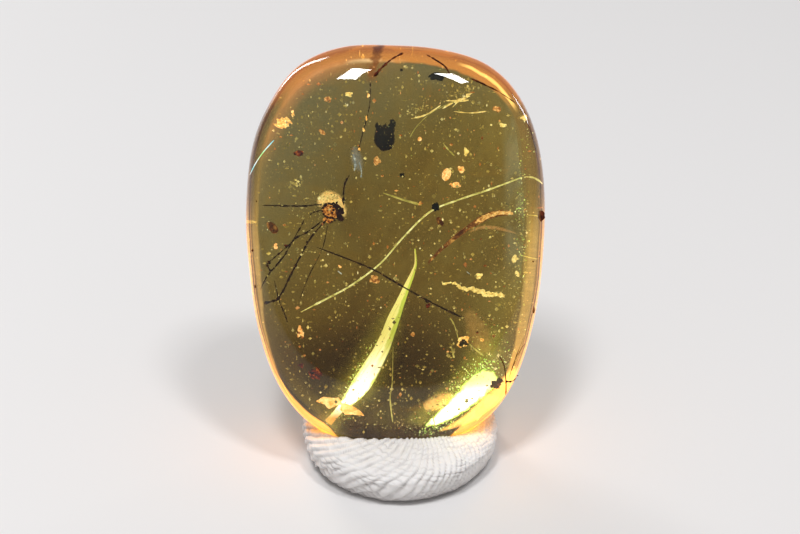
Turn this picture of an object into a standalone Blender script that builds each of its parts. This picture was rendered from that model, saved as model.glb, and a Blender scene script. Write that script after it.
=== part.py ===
"""Insect in amber: a polished amber cabochon that leans back in a foot of white tack.

The amber holds a long-legged insect, a beetle, a leaf sliver, plant threads and crumbs. They lie along a
gently bowed flow surface, where one run of resin skinned over before the next one covered it. The amber is
parted along that surface, and each half carries its side of every pocket.

The stone is drawn face on: x runs across it from its middle, z up it from its lowest point, and y into it,
with the front at negative y. An empty then leans it back and seats it in the foot.
Sizes are in millimetres, and MM turns them into metres.
"""

import math
import random
from typing import NamedTuple

import bmesh
import bpy
import numpy as np
from mathutils import Matrix, Vector

MM = 0.001

# The stone
HALF_WIDTH = 9.15
HEIGHT = 24.6
MIDDLE = HEIGHT / 2
HALF_THICKNESS = 3.75
DOME_FULLNESS = 3.0  # 2 is an ellipse in section, more is flatter on the face and squarer at the rim
AROUND, ACROSS = 40, 14  # facets round the rim and from the front pole to the back pole
OUTLINE = (
    (0.0, 24.6), (2.8, 24.35), (5.4, 23.55), (7.3, 21.9), (8.6, 19.2), (9.15, 15.5), (9.0, 11.0),
    (8.4, 7.2), (7.2, 3.75), (5.4, 1.5), (2.9, 0.25), (0.0, 0.0), (-2.9, 0.25), (-5.4, 1.55),
    (-7.2, 3.85), (-8.4, 7.2), (-8.95, 11.0), (-9.13, 14.5), (-8.75, 18.3), (-7.7, 21.0),
    (-5.9, 23.35), (-3.2, 24.5),
)  # fmt: skip

# How it stands
LEAN = math.radians(23)
# The stone's lowest point at mid thickness, from the middle of the foot's underside
SEAT = (-0.3, -1.3, 1.05)

# The flow surface that the inclusions lie on, and that parts the two halves
FLOW_DEPTH = -1.1
FLOW_TILT = 0.05
FLOW_BOW = 0.7
FLOW_CELLS = (7, 9)  # odd, so that no cell's edge runs along an edge of the stone's facets
FLOW_OVERHANG = 1.2  # how far the parting block reaches past the rim, as a share of the stone
PARTING_GAP = 0.14
DOME_PULL = 0.06  # the dome magnifies: what looks to lie near the rim lies nearer the middle

# Pockets
CLEARANCE = 0.16
POCKET_SIDES = 5
ICO_INRADIUS = 0.795  # of a 20-faced ball, as a share of its radius

# The foot
FOOT_HALF_WIDTH = 6.05
FOOT_HALF_DEPTH = 6.7
FOOT_WAIST = 1.5  # height of its widest part
FOOT_RISE = 1.3  # from there to the top
FOOT_SINK = 2.6  # from there to where its round side would close, below the flat underside
FOOT_FULLNESS = 2.6
FOOT_RINGS = 10
SOCKET_GAP = 0.25

THREAD_SIDES = 5
SMOOTH_BELOW = math.radians(40)  # two faces that meet at less than this look like one curved one


class Finish(NamedTuple):
    colour: tuple
    roughness: float
    metallic: float = 0.0


AMBER = Finish((0.62, 0.36, 0.06), 0.08)
TACK = Finish((0.88, 0.86, 0.85), 0.75)
CHITIN_BROWN = Finish((0.20, 0.07, 0.02), 0.4)
CHITIN_BLACK = Finish((0.015, 0.012, 0.012), 0.35)
LEAF_GREEN = Finish((0.66, 0.72, 0.20), 0.5)
STRAND_GREEN = Finish((0.50, 0.52, 0.12), 0.5)
BARK_BROWN = Finish((0.22, 0.10, 0.03), 0.6)
CREAM = Finish((0.78, 0.58, 0.30), 0.7)
RUST = Finish((0.30, 0.05, 0.02), 0.5)
RESIN_GOLD = Finish((0.80, 0.46, 0.14), 0.6)


class Leg(NamedTuple):
    """A leg or thread: its route on the face, its radius at each end, and how far it lies behind the flow."""

    name: str
    route: tuple
    radii: tuple
    lift: float


INSECT_LEGS = (
    Leg("leg_left", ((-4.4, 14.8), (-5.2, 14.9), (-6.8, 14.8), (-8.1, 14.8)), (0.07, 0.04), 0.0),
    Leg("leg_short", ((-4.4, 14.6), (-4.8, 14.5), (-5.2, 14.45), (-5.35, 14.2)), (0.06, 0.04), 0.15),
    Leg(
        "leg_long",
        (
            (-4.2, 14.0), (-5.1, 13.3), (-5.4, 12.7), (-6.4, 10.8), (-6.8, 10.2), (-7.2, 9.1),
            (-8.1, 8.65),
        ),
        (0.07, 0.09),
        -0.24,
    ),
    Leg(
        "leg_folded",
        (
            (-4.4, 14.2), (-5.4, 13.3), (-6.4, 12.7), (-7.5, 11.7), (-7.95, 11.2), (-7.7, 10.6),
            (-7.4, 9.2), (-6.8, 7.6),
        ),
        (0.06, 0.06),
        0.02,
    ),
    Leg(
        "leg_back",
        ((-4.4, 14.3), (-5.6, 13.8), (-6.1, 12.9), (-6.5, 12.4), (-7.4, 11.0), (-8.25, 9.6)),
        (0.06, 0.06),
        0.28,
    ),
    Leg("leg_hind", ((-4.1, 14.2), (-4.5, 12.2), (-5.4, 10.5), (-5.95, 9.1)), (0.06, 0.05), 0.26),
)  # fmt: skip
INSECT_BODY = (
    # x, z, width, height, thickness, lift
    (-4.1, 14.45, 1.05, 1.15, 0.85, 0.0),
    (-3.5, 14.35, 0.6, 0.85, 0.6, 0.0),
    (-4.0, 13.95, 0.75, 0.45, 0.5, 0.0),
)

BEETLE_BODY = (
    (-0.64, 19.0, 1.2, 1.45, 0.8, 0.0),
    (-0.2, 19.85, 0.42, 0.85, 0.45, 0.0),
    (-1.1, 19.85, 0.36, 0.8, 0.4, 0.0),
    (-0.75, 19.85, 0.34, 0.6, 0.4, 0.0),
)

LOOSE_LEG = Leg(
    "loose_leg",
    ((-4.7, 12.4), (-2.6, 11.6), (-1.3, 11.05), (0.0, 10.3), (1.9, 9.2), (4.2, 8.0)),
    (0.05, 0.06),
    -0.22,
)
PLANT_STRAND = Leg(
    "plant_strand",
    (
        (-5.0, 8.7), (-2.6, 10.1), (-0.9, 11.4), (0.5, 13.0), (2.1, 14.55), (3.7, 15.25), (5.4, 15.85),
        (6.8, 16.4), (7.7, 16.75), (8.3, 16.75),
    ),
    (0.10, 0.07),
    0.06,
)  # fmt: skip
ROOT_THREAD = Leg(
    "root_thread",
    (
        (-1.55, 22.5), (-1.55, 21.3), (-1.7, 20.4), (-2.1, 18.5), (-2.4, 17.4), (-3.0, 16.35), (-3.1, 15.8),
        (-3.1, 14.95),
    ),
    (0.05, 0.06),
    0.0,
)  # fmt: skip
TWIG_BIT = Leg(
    "twig_bit",
    ((2.85, 10.2), (3.6, 10.2), (4.0, 9.9), (4.75, 9.8), (5.4, 9.55), (6.4, 9.45)),
    (0.08, 0.12),
    0.0,
)
SEED_PLUME = Leg(
    "seed_plume",
    ((1.95, 11.4), (2.6, 12.1), (3.45, 12.85), (4.5, 13.65), (5.4, 14.2), (6.15, 14.5), (7.1, 14.55)),
    (0.07, 0.22),
    0.0,
)

# The leaf sliver from its stalk down to its foot: x, z and half width
LEAF_STATIONS = (
    (1.2, 12.3, 0.05), (1.22, 11.4, 0.08), (1.0, 10.75, 0.13), (0.73, 10.0, 0.19), (-0.05, 8.05, 0.35),
    (-0.8, 6.05, 0.43), (-1.55, 4.9, 0.46), (-2.25, 3.7, 0.48), (-2.8, 2.9, 0.36), (-3.2, 2.45, 0.25),
    (-3.75, 1.75, 0.18),
)  # fmt: skip
LEAF_LIFT = 0.2
LEAF_KEEL = 0.42  # its thickness, as a share of its width


class Crumb(NamedTuple):
    """A small lump: its place on the face, its size, its turn in degrees, and its finish."""

    name: str
    x: float
    z: float
    width: float
    height: float
    thickness: float
    turn: float
    lift: float
    finish: Finish


CRUMBS = (
    Crumb("pupa", -7.4, 13.6, 0.5, 0.85, 0.5, 35, 0.0, CHITIN_BROWN),
    Crumb("soot_cluster", 2.45, 14.8, 0.5, 0.55, 0.24, 20, -0.34, CHITIN_BLACK),
    Crumb("brown_capsule", 2.7, 13.95, 0.4, 0.65, 0.36, 25, 0.0, CHITIN_BROWN),
    Crumb("bract_left", -4.15, 2.6, 0.95, 0.42, 0.18, -18, -0.32, RESIN_GOLD),
    Crumb("bract_right", -2.5, 2.1, 0.95, 0.36, 0.18, -28, 0.0, RESIN_GOLD),
    Crumb("cream_oval", 3.1, 16.85, 0.5, 0.75, 0.35, -15, 0.0, CREAM),
    Crumb("crumb_above_strand", 4.0, 17.2, 0.55, 0.4, 0.3, 0, 0.0, RESIN_GOLD),
    Crumb("crumb_on_strand", 4.35, 16.05, 0.7, 0.35, 0.26, 15, -0.05, CREAM),
    Crumb("crumb_left_shoulder", -6.6, 20.3, 1.05, 0.8, 0.5, 20, 0.0, CREAM),
    Crumb("dark_crumb", -5.8, 18.2, 0.6, 0.45, 0.35, 0, 0.0, RUST),
    Crumb("crumb_below_beetle", -1.1, 17.7, 0.55, 0.55, 0.4, 30, 0.0, RESIN_GOLD),
    Crumb("crumb_right_shoulder", 6.25, 21.0, 0.65, 0.36, 0.3, -25, 0.0, CREAM),
    Crumb("yellow_crumb", 6.6, 20.0, 0.6, 0.36, 0.3, 10, 0.0, RESIN_GOLD),
    Crumb("crumb_by_twig", 5.05, 10.6, 0.45, 0.4, 0.3, 0, 0.0, CREAM),
    Crumb("cream_fleck", -5.75, 7.15, 0.4, 0.62, 0.26, -25, 0.0, CREAM),
    Crumb("red_bark_chip", -4.9, 4.5, 1.0, 0.42, 0.3, 38, 0.0, RUST),
    Crumb("dark_chip", 4.2, 6.5, 0.6, 0.55, 0.3, 15, 0.0, CHITIN_BROWN),
    Crumb("chip_by_fracture", 6.25, 3.75, 0.75, 0.42, 0.3, 35, 0.0, RUST),
)
COARSE_CRUMB = 0.62  # a crumb no larger than this has fewer facets
CRUMB_ROUGHNESS = 0.14


# ---------------------------------------------------------------------------------------- the stone's shape


def smooth_route(points, steps, closed=False):
    """Points along a Catmull-Rom curve through the given ones, with so many steps between two of them."""
    count = len(points)
    spans = count if closed else count - 1

    def at(index):
        index = index % count if closed else min(max(index, 0), count - 1)
        return np.array(points[index], float)

    route = []
    for span in range(spans):
        before, start, end, after = (at(span + offset) for offset in (-1, 0, 1, 2))
        for step in range(steps):
            t = step / steps
            route.append(
                0.5
                * (
                    2 * start
                    + (end - before) * t
                    + (2 * before - 5 * start + 4 * end - after) * t**2
                    + (3 * start - before - 3 * end + after) * t**3
                )
            )
    if not closed:
        route.append(at(count - 1))
    return route


def outline_by_angle():
    """The stone's outline round its middle, as sorted angles and the radius at each."""
    points = np.array(smooth_route(OUTLINE, 8, closed=True)) - (0.0, MIDDLE)
    angles = np.arctan2(points[:, 1], points[:, 0])
    order = np.argsort(angles)
    return angles[order], np.hypot(points[:, 0], points[:, 1])[order]


def flow_depth(x, z):
    """How deep the flow surface lies at a place on the face."""
    return FLOW_DEPTH + FLOW_TILT * (z - MIDDLE) + FLOW_BOW * (x / HALF_WIDTH) ** 2


def under_dome(x, z, lift=0.0):
    """The place in the stone of what is seen at x, z through its domed front, in metres."""
    spread = (x / HALF_WIDTH) ** 2 + ((z - MIDDLE) / MIDDLE) ** 2
    pull = 1 - DOME_PULL * spread
    x, z = x * pull, MIDDLE + (z - MIDDLE) * pull
    return Vector((x, flow_depth(x, z) + lift, z)) * MM


def stone_mesh(grow=0.0):
    """The whole stone as a ball drawn out to its outline and flattened to its domes, grown by a wall."""
    angles, radii = outline_by_angle()
    bm = bmesh.new()
    bmesh.ops.create_uvsphere(bm, u_segments=AROUND, v_segments=ACROSS, radius=1)
    for vert in bm.verts:
        angle = math.atan2(vert.co.y, vert.co.x)
        rim_share = min(1.0, math.hypot(vert.co.x, vert.co.y)) ** (2 / DOME_FULLNESS)
        depth_share = math.copysign(min(1.0, abs(vert.co.z)) ** (2 / DOME_FULLNESS), vert.co.z)
        radius = float(np.interp(angle, angles, radii, period=2 * math.pi)) + grow
        inset = HALF_WIDTH * (1 - rim_share)
        x = radius * math.cos(angle) * rim_share
        z = radius * math.sin(angle) * (MIDDLE - inset) / MIDDLE if rim_share > 1e-4 else 0.0
        vert.co = Vector((x, -depth_share * (HALF_THICKNESS + grow), MIDDLE + z)) * MM
    return bm


def flow_block(side):
    """A block that fills the space behind the flow surface (side 1) or in front of it, and half the gap."""
    bm = bmesh.new()
    bmesh.ops.create_grid(bm, x_segments=FLOW_CELLS[0], y_segments=FLOW_CELLS[1], size=1)
    for vert in bm.verts:
        x, z = vert.co.x * HALF_WIDTH * FLOW_OVERHANG, MIDDLE * (1 + vert.co.y * FLOW_OVERHANG)
        vert.co = Vector((x, flow_depth(x, z) - side * PARTING_GAP / 2, z)) * MM
    wall = bmesh.ops.extrude_face_region(bm, geom=bm.faces[:])
    moved = [item for item in wall["geom"] if isinstance(item, bmesh.types.BMVert)]
    bmesh.ops.translate(bm, verts=moved, vec=(0, side * 4 * HALF_THICKNESS * MM, 0))
    bmesh.ops.recalc_face_normals(bm, faces=bm.faces[:])
    return bm


# ------------------------------------------------------------------------------------------- shape builders


def tube_mesh(route, radii, sides):
    """A closed tube along a route of places in metres, with a radius in millimetres at each."""
    bm = bmesh.new()
    rings = []
    for index, (place, radius) in enumerate(zip(route, radii)):
        ahead = route[min(index + 1, len(route) - 1)] - route[max(index - 1, 0)]
        facing = ahead.to_track_quat("Z", "Y").to_matrix().to_4x4()
        ring = bmesh.ops.create_circle(
            bm,
            cap_ends=index in (0, len(route) - 1),
            segments=sides,
            radius=radius * MM,
            matrix=Matrix.Translation(place) @ facing,
        )["verts"]
        rings.append({edge for vert in ring for edge in vert.link_edges})
        if index:
            bmesh.ops.bridge_loops(bm, edges=list(rings[-2] | rings[-1]))
            rings[-1] = {edge for edge in rings[-1] if edge.is_valid and set(edge.verts) <= set(ring)}
    bmesh.ops.recalc_face_normals(bm, faces=bm.faces[:])
    return bm


def leg_mesh(leg, steps):
    """A leg as a tube that tapers from its first radius to its last, with so many steps in each bend."""
    route = smooth_route(leg.route, steps)
    radii = np.linspace(leg.radii[0], leg.radii[1], len(route))
    return tube_mesh([under_dome(x, z, leg.lift) for x, z in route], radii, THREAD_SIDES)


def pocket_for_leg(leg):
    """The leg's pocket: centred on the flow surface, so that the parting opens it, and wide enough."""
    first, second, *_, last_but_one, last = (Vector(point) for point in leg.route)
    first = first + (first - second).normalized() * CLEARANCE
    last = last + (last - last_but_one).normalized() * CLEARANCE
    route = [under_dome(x, z) for x, z in (first, *leg.route[1:-1], last)]
    radii = np.linspace(leg.radii[0], leg.radii[1], len(route)) + abs(leg.lift) + CLEARANCE
    return tube_mesh(route, radii, POCKET_SIDES)


def ball_mesh(size, centre, turn=0.0, subdivisions=2, roughness=0.0, seed=0):
    """A lump of the given width, thickness and height, turned in the plane of the face."""
    bm = bmesh.new()
    bmesh.ops.create_icosphere(bm, subdivisions=subdivisions, radius=0.5)
    dice = random.Random(seed)
    for vert in bm.verts:
        vert.co *= 1 + dice.uniform(-roughness, roughness)
    scale = Matrix.Diagonal((*(Vector(size) * MM), 1))
    turned = Matrix.Rotation(math.radians(-turn), 4, "Y")
    bmesh.ops.transform(bm, matrix=Matrix.Translation(centre) @ turned @ scale, verts=bm.verts)
    return bm


def lump_mesh(lump, subdivisions=2):
    """A lump of a body, from its place on the face, its width, height, thickness and lift."""
    x, z, width, height, thickness, lift = lump
    return ball_mesh((width, thickness, height), under_dome(x, z, lift), subdivisions=subdivisions)


def pocket_for_lump(x, z, width, height, thickness, lift, turn=0.0):
    """A lump's pocket, centred on the flow surface."""
    size = Vector((width, thickness + 2 * abs(lift), height)) + Vector((2, 2, 2)) * CLEARANCE
    return ball_mesh(size / ICO_INRADIUS, under_dome(x, z), turn, subdivisions=1)


def leaf_mesh(widen=0.0, stretch=0.0):
    """The leaf sliver: four-sided, with a keel down its front and back, lofted from stalk to foot."""
    stations = [Vector((x, z)) for x, z, _ in LEAF_STATIONS]
    bm = bmesh.new()
    rings = []
    last = len(stations) - 1
    for index, (place, station) in enumerate(zip(stations, LEAF_STATIONS)):
        along = (stations[min(index + 1, last)] - stations[max(index - 1, 0)]).normalized()
        if index in (0, last):
            place = place + along * (stretch if index else -stretch)
        across = Vector((-along.y, along.x)) * (station[2] + widen)
        keel = station[2] * LEAF_KEEL + widen
        sides = (place + across, place - across)
        corners = [under_dome(*sides[0], LEAF_LIFT), under_dome(*place, LEAF_LIFT - keel)]
        corners += [under_dome(*sides[1], LEAF_LIFT), under_dome(*place, LEAF_LIFT + keel)]
        verts = [bm.verts.new(corner) for corner in corners]
        edges = [bm.edges.new((verts[side], verts[(side + 1) % 4])) for side in range(4)]
        if index in (0, last):
            bm.faces.new(verts)
        if rings:
            bmesh.ops.bridge_loops(bm, edges=rings[-1] + edges)
        rings.append(edges)
    bmesh.ops.recalc_face_normals(bm, faces=bm.faces[:])
    return bm


def foot_mesh():
    """A pressed ball of tack, round at the side and flat underneath."""
    bm = bmesh.new()
    bmesh.ops.create_uvsphere(bm, u_segments=AROUND, v_segments=FOOT_RINGS, radius=1)
    for vert in bm.verts:
        out = min(1.0, math.hypot(vert.co.x, vert.co.y)) ** (2 / FOOT_FULLNESS)
        up = min(1.0, abs(vert.co.z)) ** (2 / FOOT_FULLNESS)
        angle = math.atan2(vert.co.y, vert.co.x)
        height = FOOT_WAIST + (FOOT_RISE * up if vert.co.z > 0 else -FOOT_SINK * up)
        x, y = FOOT_HALF_WIDTH * out * math.cos(angle), FOOT_HALF_DEPTH * out * math.sin(angle)
        vert.co = Vector((x, y, height)) * MM
    everything = bm.verts[:] + bm.edges[:] + bm.faces[:]
    cut = bmesh.ops.bisect_plane(
        bm, geom=everything, plane_co=(0, 0, 0), plane_no=(0, 0, -1), clear_outer=True
    )
    rim = [item for item in cut["geom_cut"] if isinstance(item, bmesh.types.BMEdge)]
    bmesh.ops.edgeloop_fill(bm, edges=rim)
    bmesh.ops.recalc_face_normals(bm, faces=bm.faces[:])
    return bm


# ------------------------------------------------------------------------------------------ objects


def clear_scene():
    """Empties the file."""
    for obj in list(bpy.data.objects):
        bpy.data.objects.remove(obj)


def material_for(name, finish):
    """A plain material of the finish's colour, roughness and metal."""
    material = bpy.data.materials.new(name)
    material.use_nodes = True
    shader = material.node_tree.nodes["Principled BSDF"]
    shader.inputs["Base Color"].default_value = (*finish.colour, 1)
    shader.inputs["Roughness"].default_value = finish.roughness
    shader.inputs["Metallic"].default_value = finish.metallic
    material.diffuse_color = (*finish.colour, 1)
    return material


def mesh_from(name, bm):
    """A mesh of flat triangles, because a Boolean takes a bent four-sided face for a flat one."""
    bmesh.ops.triangulate(bm, faces=bm.faces[:])
    mesh = bpy.data.meshes.new(name)
    bm.to_mesh(mesh)
    bm.free()
    return mesh


def piece(name, bm, finish, parent=None):
    """An object from a bmesh, with a material of its own."""
    mesh = mesh_from(name, bm)
    mesh.materials.append(material_for(name, finish))
    mesh.shade_smooth()
    mesh.set_sharp_from_angle(angle=SMOOTH_BELOW)
    obj = bpy.data.objects.new(name, mesh)
    bpy.context.scene.collection.objects.link(obj)
    obj.parent = parent
    return obj


def cutter(name, bm, parent, group=None):
    """A shape that only cuts or joins, and isn't part of the object."""
    obj = bpy.data.objects.new(name, mesh_from(name, bm))
    (group or bpy.context.scene.collection).objects.link(obj)
    obj.parent = parent
    obj.hide_render = True
    obj.display_type = "WIRE"
    return obj


def boolean(obj, operation, other):
    """A Boolean with one object, or with every object of a collection."""
    modifier = obj.modifiers.new(f"{operation.lower()} {other.name}", "BOOLEAN")
    modifier.operation = operation
    modifier.solver = "EXACT"
    if isinstance(other, bpy.types.Collection):
        modifier.operand_type = "COLLECTION"
        modifier.collection = other
        modifier.use_self = True  # neighbouring pockets run into each other
    else:
        modifier.object = other


def add_insect(seat, pockets):
    """The body's lumps and its six legs, joined in one solid."""
    body, *lumps = INSECT_BODY
    insect = piece("long_legged_insect", lump_mesh(body), CHITIN_BROWN, seat)
    for number, lump in enumerate(lumps):
        boolean(insect, "UNION", cutter(f"insect_lump_{number}", lump_mesh(lump), seat))
    for leg in INSECT_LEGS:
        boolean(insect, "UNION", cutter(leg.name, leg_mesh(leg, 1), seat))
        cutter(f"pocket_{leg.name}", pocket_for_leg(leg), seat, pockets)
    add_lump_pockets("insect", INSECT_BODY, seat, pockets)


def add_beetle(seat, pockets):
    """A dark oval body with three lobes at its upper end."""
    body, *lobes = BEETLE_BODY
    beetle = piece("beetle", lump_mesh(body), CHITIN_BLACK, seat)
    for number, lobe in enumerate(lobes):
        boolean(beetle, "UNION", cutter(f"beetle_lobe_{number}", lump_mesh(lobe, 1), seat))
    add_lump_pockets("beetle", BEETLE_BODY, seat, pockets)


def add_lump_pockets(owner, lumps, seat, pockets):
    """A pocket for each lump of a body."""
    for number, lump in enumerate(lumps):
        cutter(f"pocket_{owner}_{number}", pocket_for_lump(*lump), seat, pockets)


def add_threads(seat, pockets):
    """The five loose threads and strands, each a solid of its own."""
    threads = (
        (LOOSE_LEG, CHITIN_BROWN),
        (PLANT_STRAND, STRAND_GREEN),
        (ROOT_THREAD, CHITIN_BROWN),
        (TWIG_BIT, CREAM),
        (SEED_PLUME, BARK_BROWN),
    )
    for thread, finish in threads:
        piece(thread.name, leg_mesh(thread, 2), finish, seat)
        cutter(f"pocket_{thread.name}", pocket_for_leg(thread), seat, pockets)


def add_leaf(seat, pockets):
    """The leaf sliver and its pocket."""
    piece("leaf_sliver", leaf_mesh(), LEAF_GREEN, seat)
    cutter("pocket_leaf", leaf_mesh(CLEARANCE + LEAF_LIFT / 2, CLEARANCE), seat, pockets)


def add_crumbs(seat, pockets):
    """The crumbs, chips and bracts, each a rough lump in a pocket of its own."""
    for seed, crumb in enumerate(CRUMBS):
        size = (crumb.width, crumb.thickness, crumb.height)
        fine = 2 if max(size) > COARSE_CRUMB else 1
        place = under_dome(crumb.x, crumb.z, crumb.lift)
        lump = ball_mesh(size, place, crumb.turn, fine, CRUMB_ROUGHNESS, seed)
        piece(crumb.name, lump, crumb.finish, seat)
        hollow = pocket_for_lump(crumb.x, crumb.z, *size[::2], size[1], crumb.lift, crumb.turn)
        cutter(f"pocket_{crumb.name}", hollow, seat, pockets)


def add_amber(seat, pockets):
    """Two halves of one stone, parted along the flow surface, with a pocket for each inclusion."""
    for name, side in (("amber_front", 1), ("amber_back", -1)):
        half = piece(name, stone_mesh(), AMBER, seat)
        boolean(half, "DIFFERENCE", cutter(f"flow_block_{name}", flow_block(side), seat))
        boolean(half, "DIFFERENCE", pockets)


def add_foot(seat):
    """The pressed foot, with a socket that the stone stands in."""
    foot = piece("tack_foot", foot_mesh(), TACK)
    boolean(foot, "DIFFERENCE", cutter("socket", stone_mesh(SOCKET_GAP), seat))


def main():
    """Builds every piece in the stone's seat, then the foot."""
    clear_scene()
    seat = bpy.data.objects.new("stone_seat", None)
    seat.location = Vector(SEAT) * MM
    seat.rotation_euler = (-LEAN, 0, 0)
    bpy.context.scene.collection.objects.link(seat)
    pockets = bpy.data.collections.new("pockets")
    bpy.context.scene.collection.children.link(pockets)

    add_insect(seat, pockets)
    add_beetle(seat, pockets)
    add_threads(seat, pockets)
    add_leaf(seat, pockets)
    add_crumbs(seat, pockets)
    add_amber(seat, pockets)
    add_foot(seat)


main()
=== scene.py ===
"""Insect in amber: the looks of a polished amber cabochon that leans back in a foot of white tack.

The stone is drawn face on, in millimetres: x runs across it from its middle, z up it from its lowest point,
and y into it, with the front at negative y. StoneShape turns such places into places in the row frame.
"""

from __future__ import annotations

import logging
import math
import random
from dataclasses import dataclass
from enum import Enum
from typing import Protocol, Sequence, Union

import bmesh
import bpy
import numpy as np
from bmesh.types import BMEdge, BMesh, BMFace, BMVert
from bpy.types import Material, Object
from mathutils import Matrix, Vector, noise
from mathutils.bvhtree import BVHTree


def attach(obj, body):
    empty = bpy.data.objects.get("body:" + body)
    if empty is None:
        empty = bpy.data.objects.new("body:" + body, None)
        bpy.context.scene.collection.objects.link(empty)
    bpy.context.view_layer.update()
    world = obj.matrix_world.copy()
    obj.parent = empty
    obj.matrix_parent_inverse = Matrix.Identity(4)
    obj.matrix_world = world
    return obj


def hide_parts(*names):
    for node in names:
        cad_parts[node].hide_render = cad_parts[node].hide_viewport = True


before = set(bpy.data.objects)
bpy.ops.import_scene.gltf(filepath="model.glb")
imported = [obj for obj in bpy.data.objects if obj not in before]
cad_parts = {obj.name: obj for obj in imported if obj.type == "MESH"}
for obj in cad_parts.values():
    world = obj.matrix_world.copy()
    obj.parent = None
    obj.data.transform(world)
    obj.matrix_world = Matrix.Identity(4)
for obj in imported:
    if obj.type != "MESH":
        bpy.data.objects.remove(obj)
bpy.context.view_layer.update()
# fmt: off
# The tables of places and colours are laid out by hand.
MM = 0.001
Colour = tuple[float, float, float]
Place = tuple[float, float]
Station = tuple[float, float, float]
Row = tuple[float, ...]
Stops = tuple[tuple[float, Colour], ...]
log = logging.getLogger("amber")


# ---- the stone's shape ----


def smooth_route(points: Sequence, steps: int, closed: bool = False) -> list[np.ndarray]:
    """Lays a Catmull-Rom curve through points.

    Args:
        points: places of two or three numbers.
        steps: how many points from one place to the next.
        closed: whether the last place runs on into the first.

    Returns:
        The curve's points.
    """
    count = len(points)

    def at(index: int) -> np.ndarray:
        """The place of that number, held or wrapped at the ends."""
        index = index % count if closed else min(max(index, 0), count - 1)
        return np.array(points[index], float)

    route = []
    for span in range(count if closed else count - 1):
        before, start, end, after = (at(span + offset) for offset in (-1, 0, 1, 2))
        for step in range(steps):
            t = step / steps
            bend = 2 * before - 5 * start + 4 * end - after
            twist = 3 * start - before - 3 * end + after
            route.append(0.5 * (2 * start + (end - before) * t + bend * t**2 + twist * t**3))
    if not closed:
        route.append(at(count - 1))
    return route


@dataclass(frozen=True)
class StoneShape:
    """The cabochon's outline and domes, the flow surface inside it, and how it stands."""

    half_width: float = 9.15
    height: float = 24.6
    half_thickness: float = 3.75
    fullness: float = 3.0
    flow_depth: float = -1.1
    flow_tilt: float = 0.05
    flow_bow: float = 0.7
    dome_pull: float = 0.06
    lean: float = math.radians(23)
    seat: Colour = (-0.3, -1.3, 1.05)
    outline: tuple[Place, ...] = (
        (0.0, 24.6), (2.8, 24.35), (5.4, 23.55), (7.3, 21.9), (8.6, 19.2), (9.15, 15.5), (9.0, 11.0),
        (8.4, 7.2), (7.2, 3.75), (5.4, 1.5), (2.9, 0.25), (0.0, 0.0), (-2.9, 0.25), (-5.4, 1.55),
        (-7.2, 3.85), (-8.4, 7.2), (-8.95, 11.0), (-9.13, 14.5), (-8.75, 18.3), (-7.7, 21.0),
        (-5.9, 23.35), (-3.2, 24.5),
    )

    @property
    def middle(self) -> float:
        """Half its height."""
        return self.height / 2

    def placed(self) -> Matrix:
        """The matrix from the stone's face, in millimetres, to the row frame, in metres."""
        lean = Matrix.Rotation(-self.lean, 4, "X")
        return Matrix.Translation(Vector(self.seat) * MM) @ lean @ Matrix.Scale(MM, 4)

    def reach(self, angle: np.ndarray) -> np.ndarray:
        """How far the outline is from the middle.

        Args:
            angle: the angles round the middle.

        Returns:
            The reach at each.
        """
        points = np.array(smooth_route(self.outline, 8, closed=True)) - (0.0, self.middle)
        angles = np.arctan2(points[:, 1], points[:, 0])
        order = np.argsort(angles)
        return np.interp(angle, angles[order], np.hypot(*points.T)[order], period=2 * math.pi)

    def spread(self, angle: np.ndarray, share: np.ndarray) -> tuple[np.ndarray, np.ndarray]:
        """Where a share of the way from the middle to the rim lies on the face.

        Args:
            angle: the angles round the middle.
            share: 0 at the middle, 1 at the rim.

        Returns:
            The x and z of each place.
        """
        inset = self.half_width * (1 - share)
        radius = self.reach(angle)
        x = radius * np.cos(angle) * share
        return x, self.middle + radius * np.sin(angle) * (self.middle - inset) / self.middle

    def rim_share(self, x: np.ndarray, z: np.ndarray) -> np.ndarray:
        """How far places on the face lie from the middle to the rim: 0 to 1, and above 1 outside.

        Args:
            x: across the stone.
            z: up the stone.

        Returns:
            The share at each place.
        """
        x, up = np.asarray(x, float), np.asarray(z, float) - self.middle
        share = np.hypot(x / self.half_width, up / self.middle)
        for _ in range(14):
            squash = np.maximum((self.middle - self.half_width * (1 - share)) / self.middle, 0.1)
            share = 0.5 * share + 0.5 * np.hypot(x, up / squash * share) / self.reach(
                np.arctan2(up / squash * share, x + 1e-9)
            )
        return share

    def dome(self, share: np.ndarray) -> np.ndarray:
        """Half the stone's thickness at a share of the way to the rim."""
        left = np.maximum(1 - np.minimum(share, 1) ** self.fullness, 0)
        return self.half_thickness * left ** (1 / self.fullness)

    def flow(self, x: float | np.ndarray, z: float | np.ndarray) -> float | np.ndarray:
        """How deep the flow surface lies at places on the face."""
        tilt = self.flow_depth + self.flow_tilt * (z - self.middle)
        return tilt + self.flow_bow * (x / self.half_width) ** 2

    def under(self, x: float, z: float, lift: float = 0.0) -> Vector:
        """The place on the flow surface of what is seen at x, z through the dome.

        Args:
            x: across the face.
            z: up the face.
            lift: how far behind the flow surface.

        Returns:
            The place, in millimetres.
        """
        pull = 1 - self.dome_pull * ((x / self.half_width) ** 2 + ((z - self.middle) / self.middle) ** 2)
        x, z = x * pull, self.middle + (z - self.middle) * pull
        return Vector((x, self.flow(x, z) + lift, z))

    def on_face(self, x: float, z: float, sink: float = 0.0) -> Vector:
        """The place on the front dome at x, z, sunk into it by so much."""
        depth = float(self.dome(self.rim_share(np.array([x]), np.array([z])))[0])
        return Vector((x, -depth + sink, z))


STONE = StoneShape()


# ---- shader maths ----

# Painted light: the inclusions give off their own colour as emission, in place of the lamp light that reaches
# them through the resin. The resin over an inclusion takes most of its blue and half its red, so that glow is
# given in these shares and this many times over.
CLEARING: Colour = (0.62, 0.72, 1.0)
CLEAR_GAIN = 3.2


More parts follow.
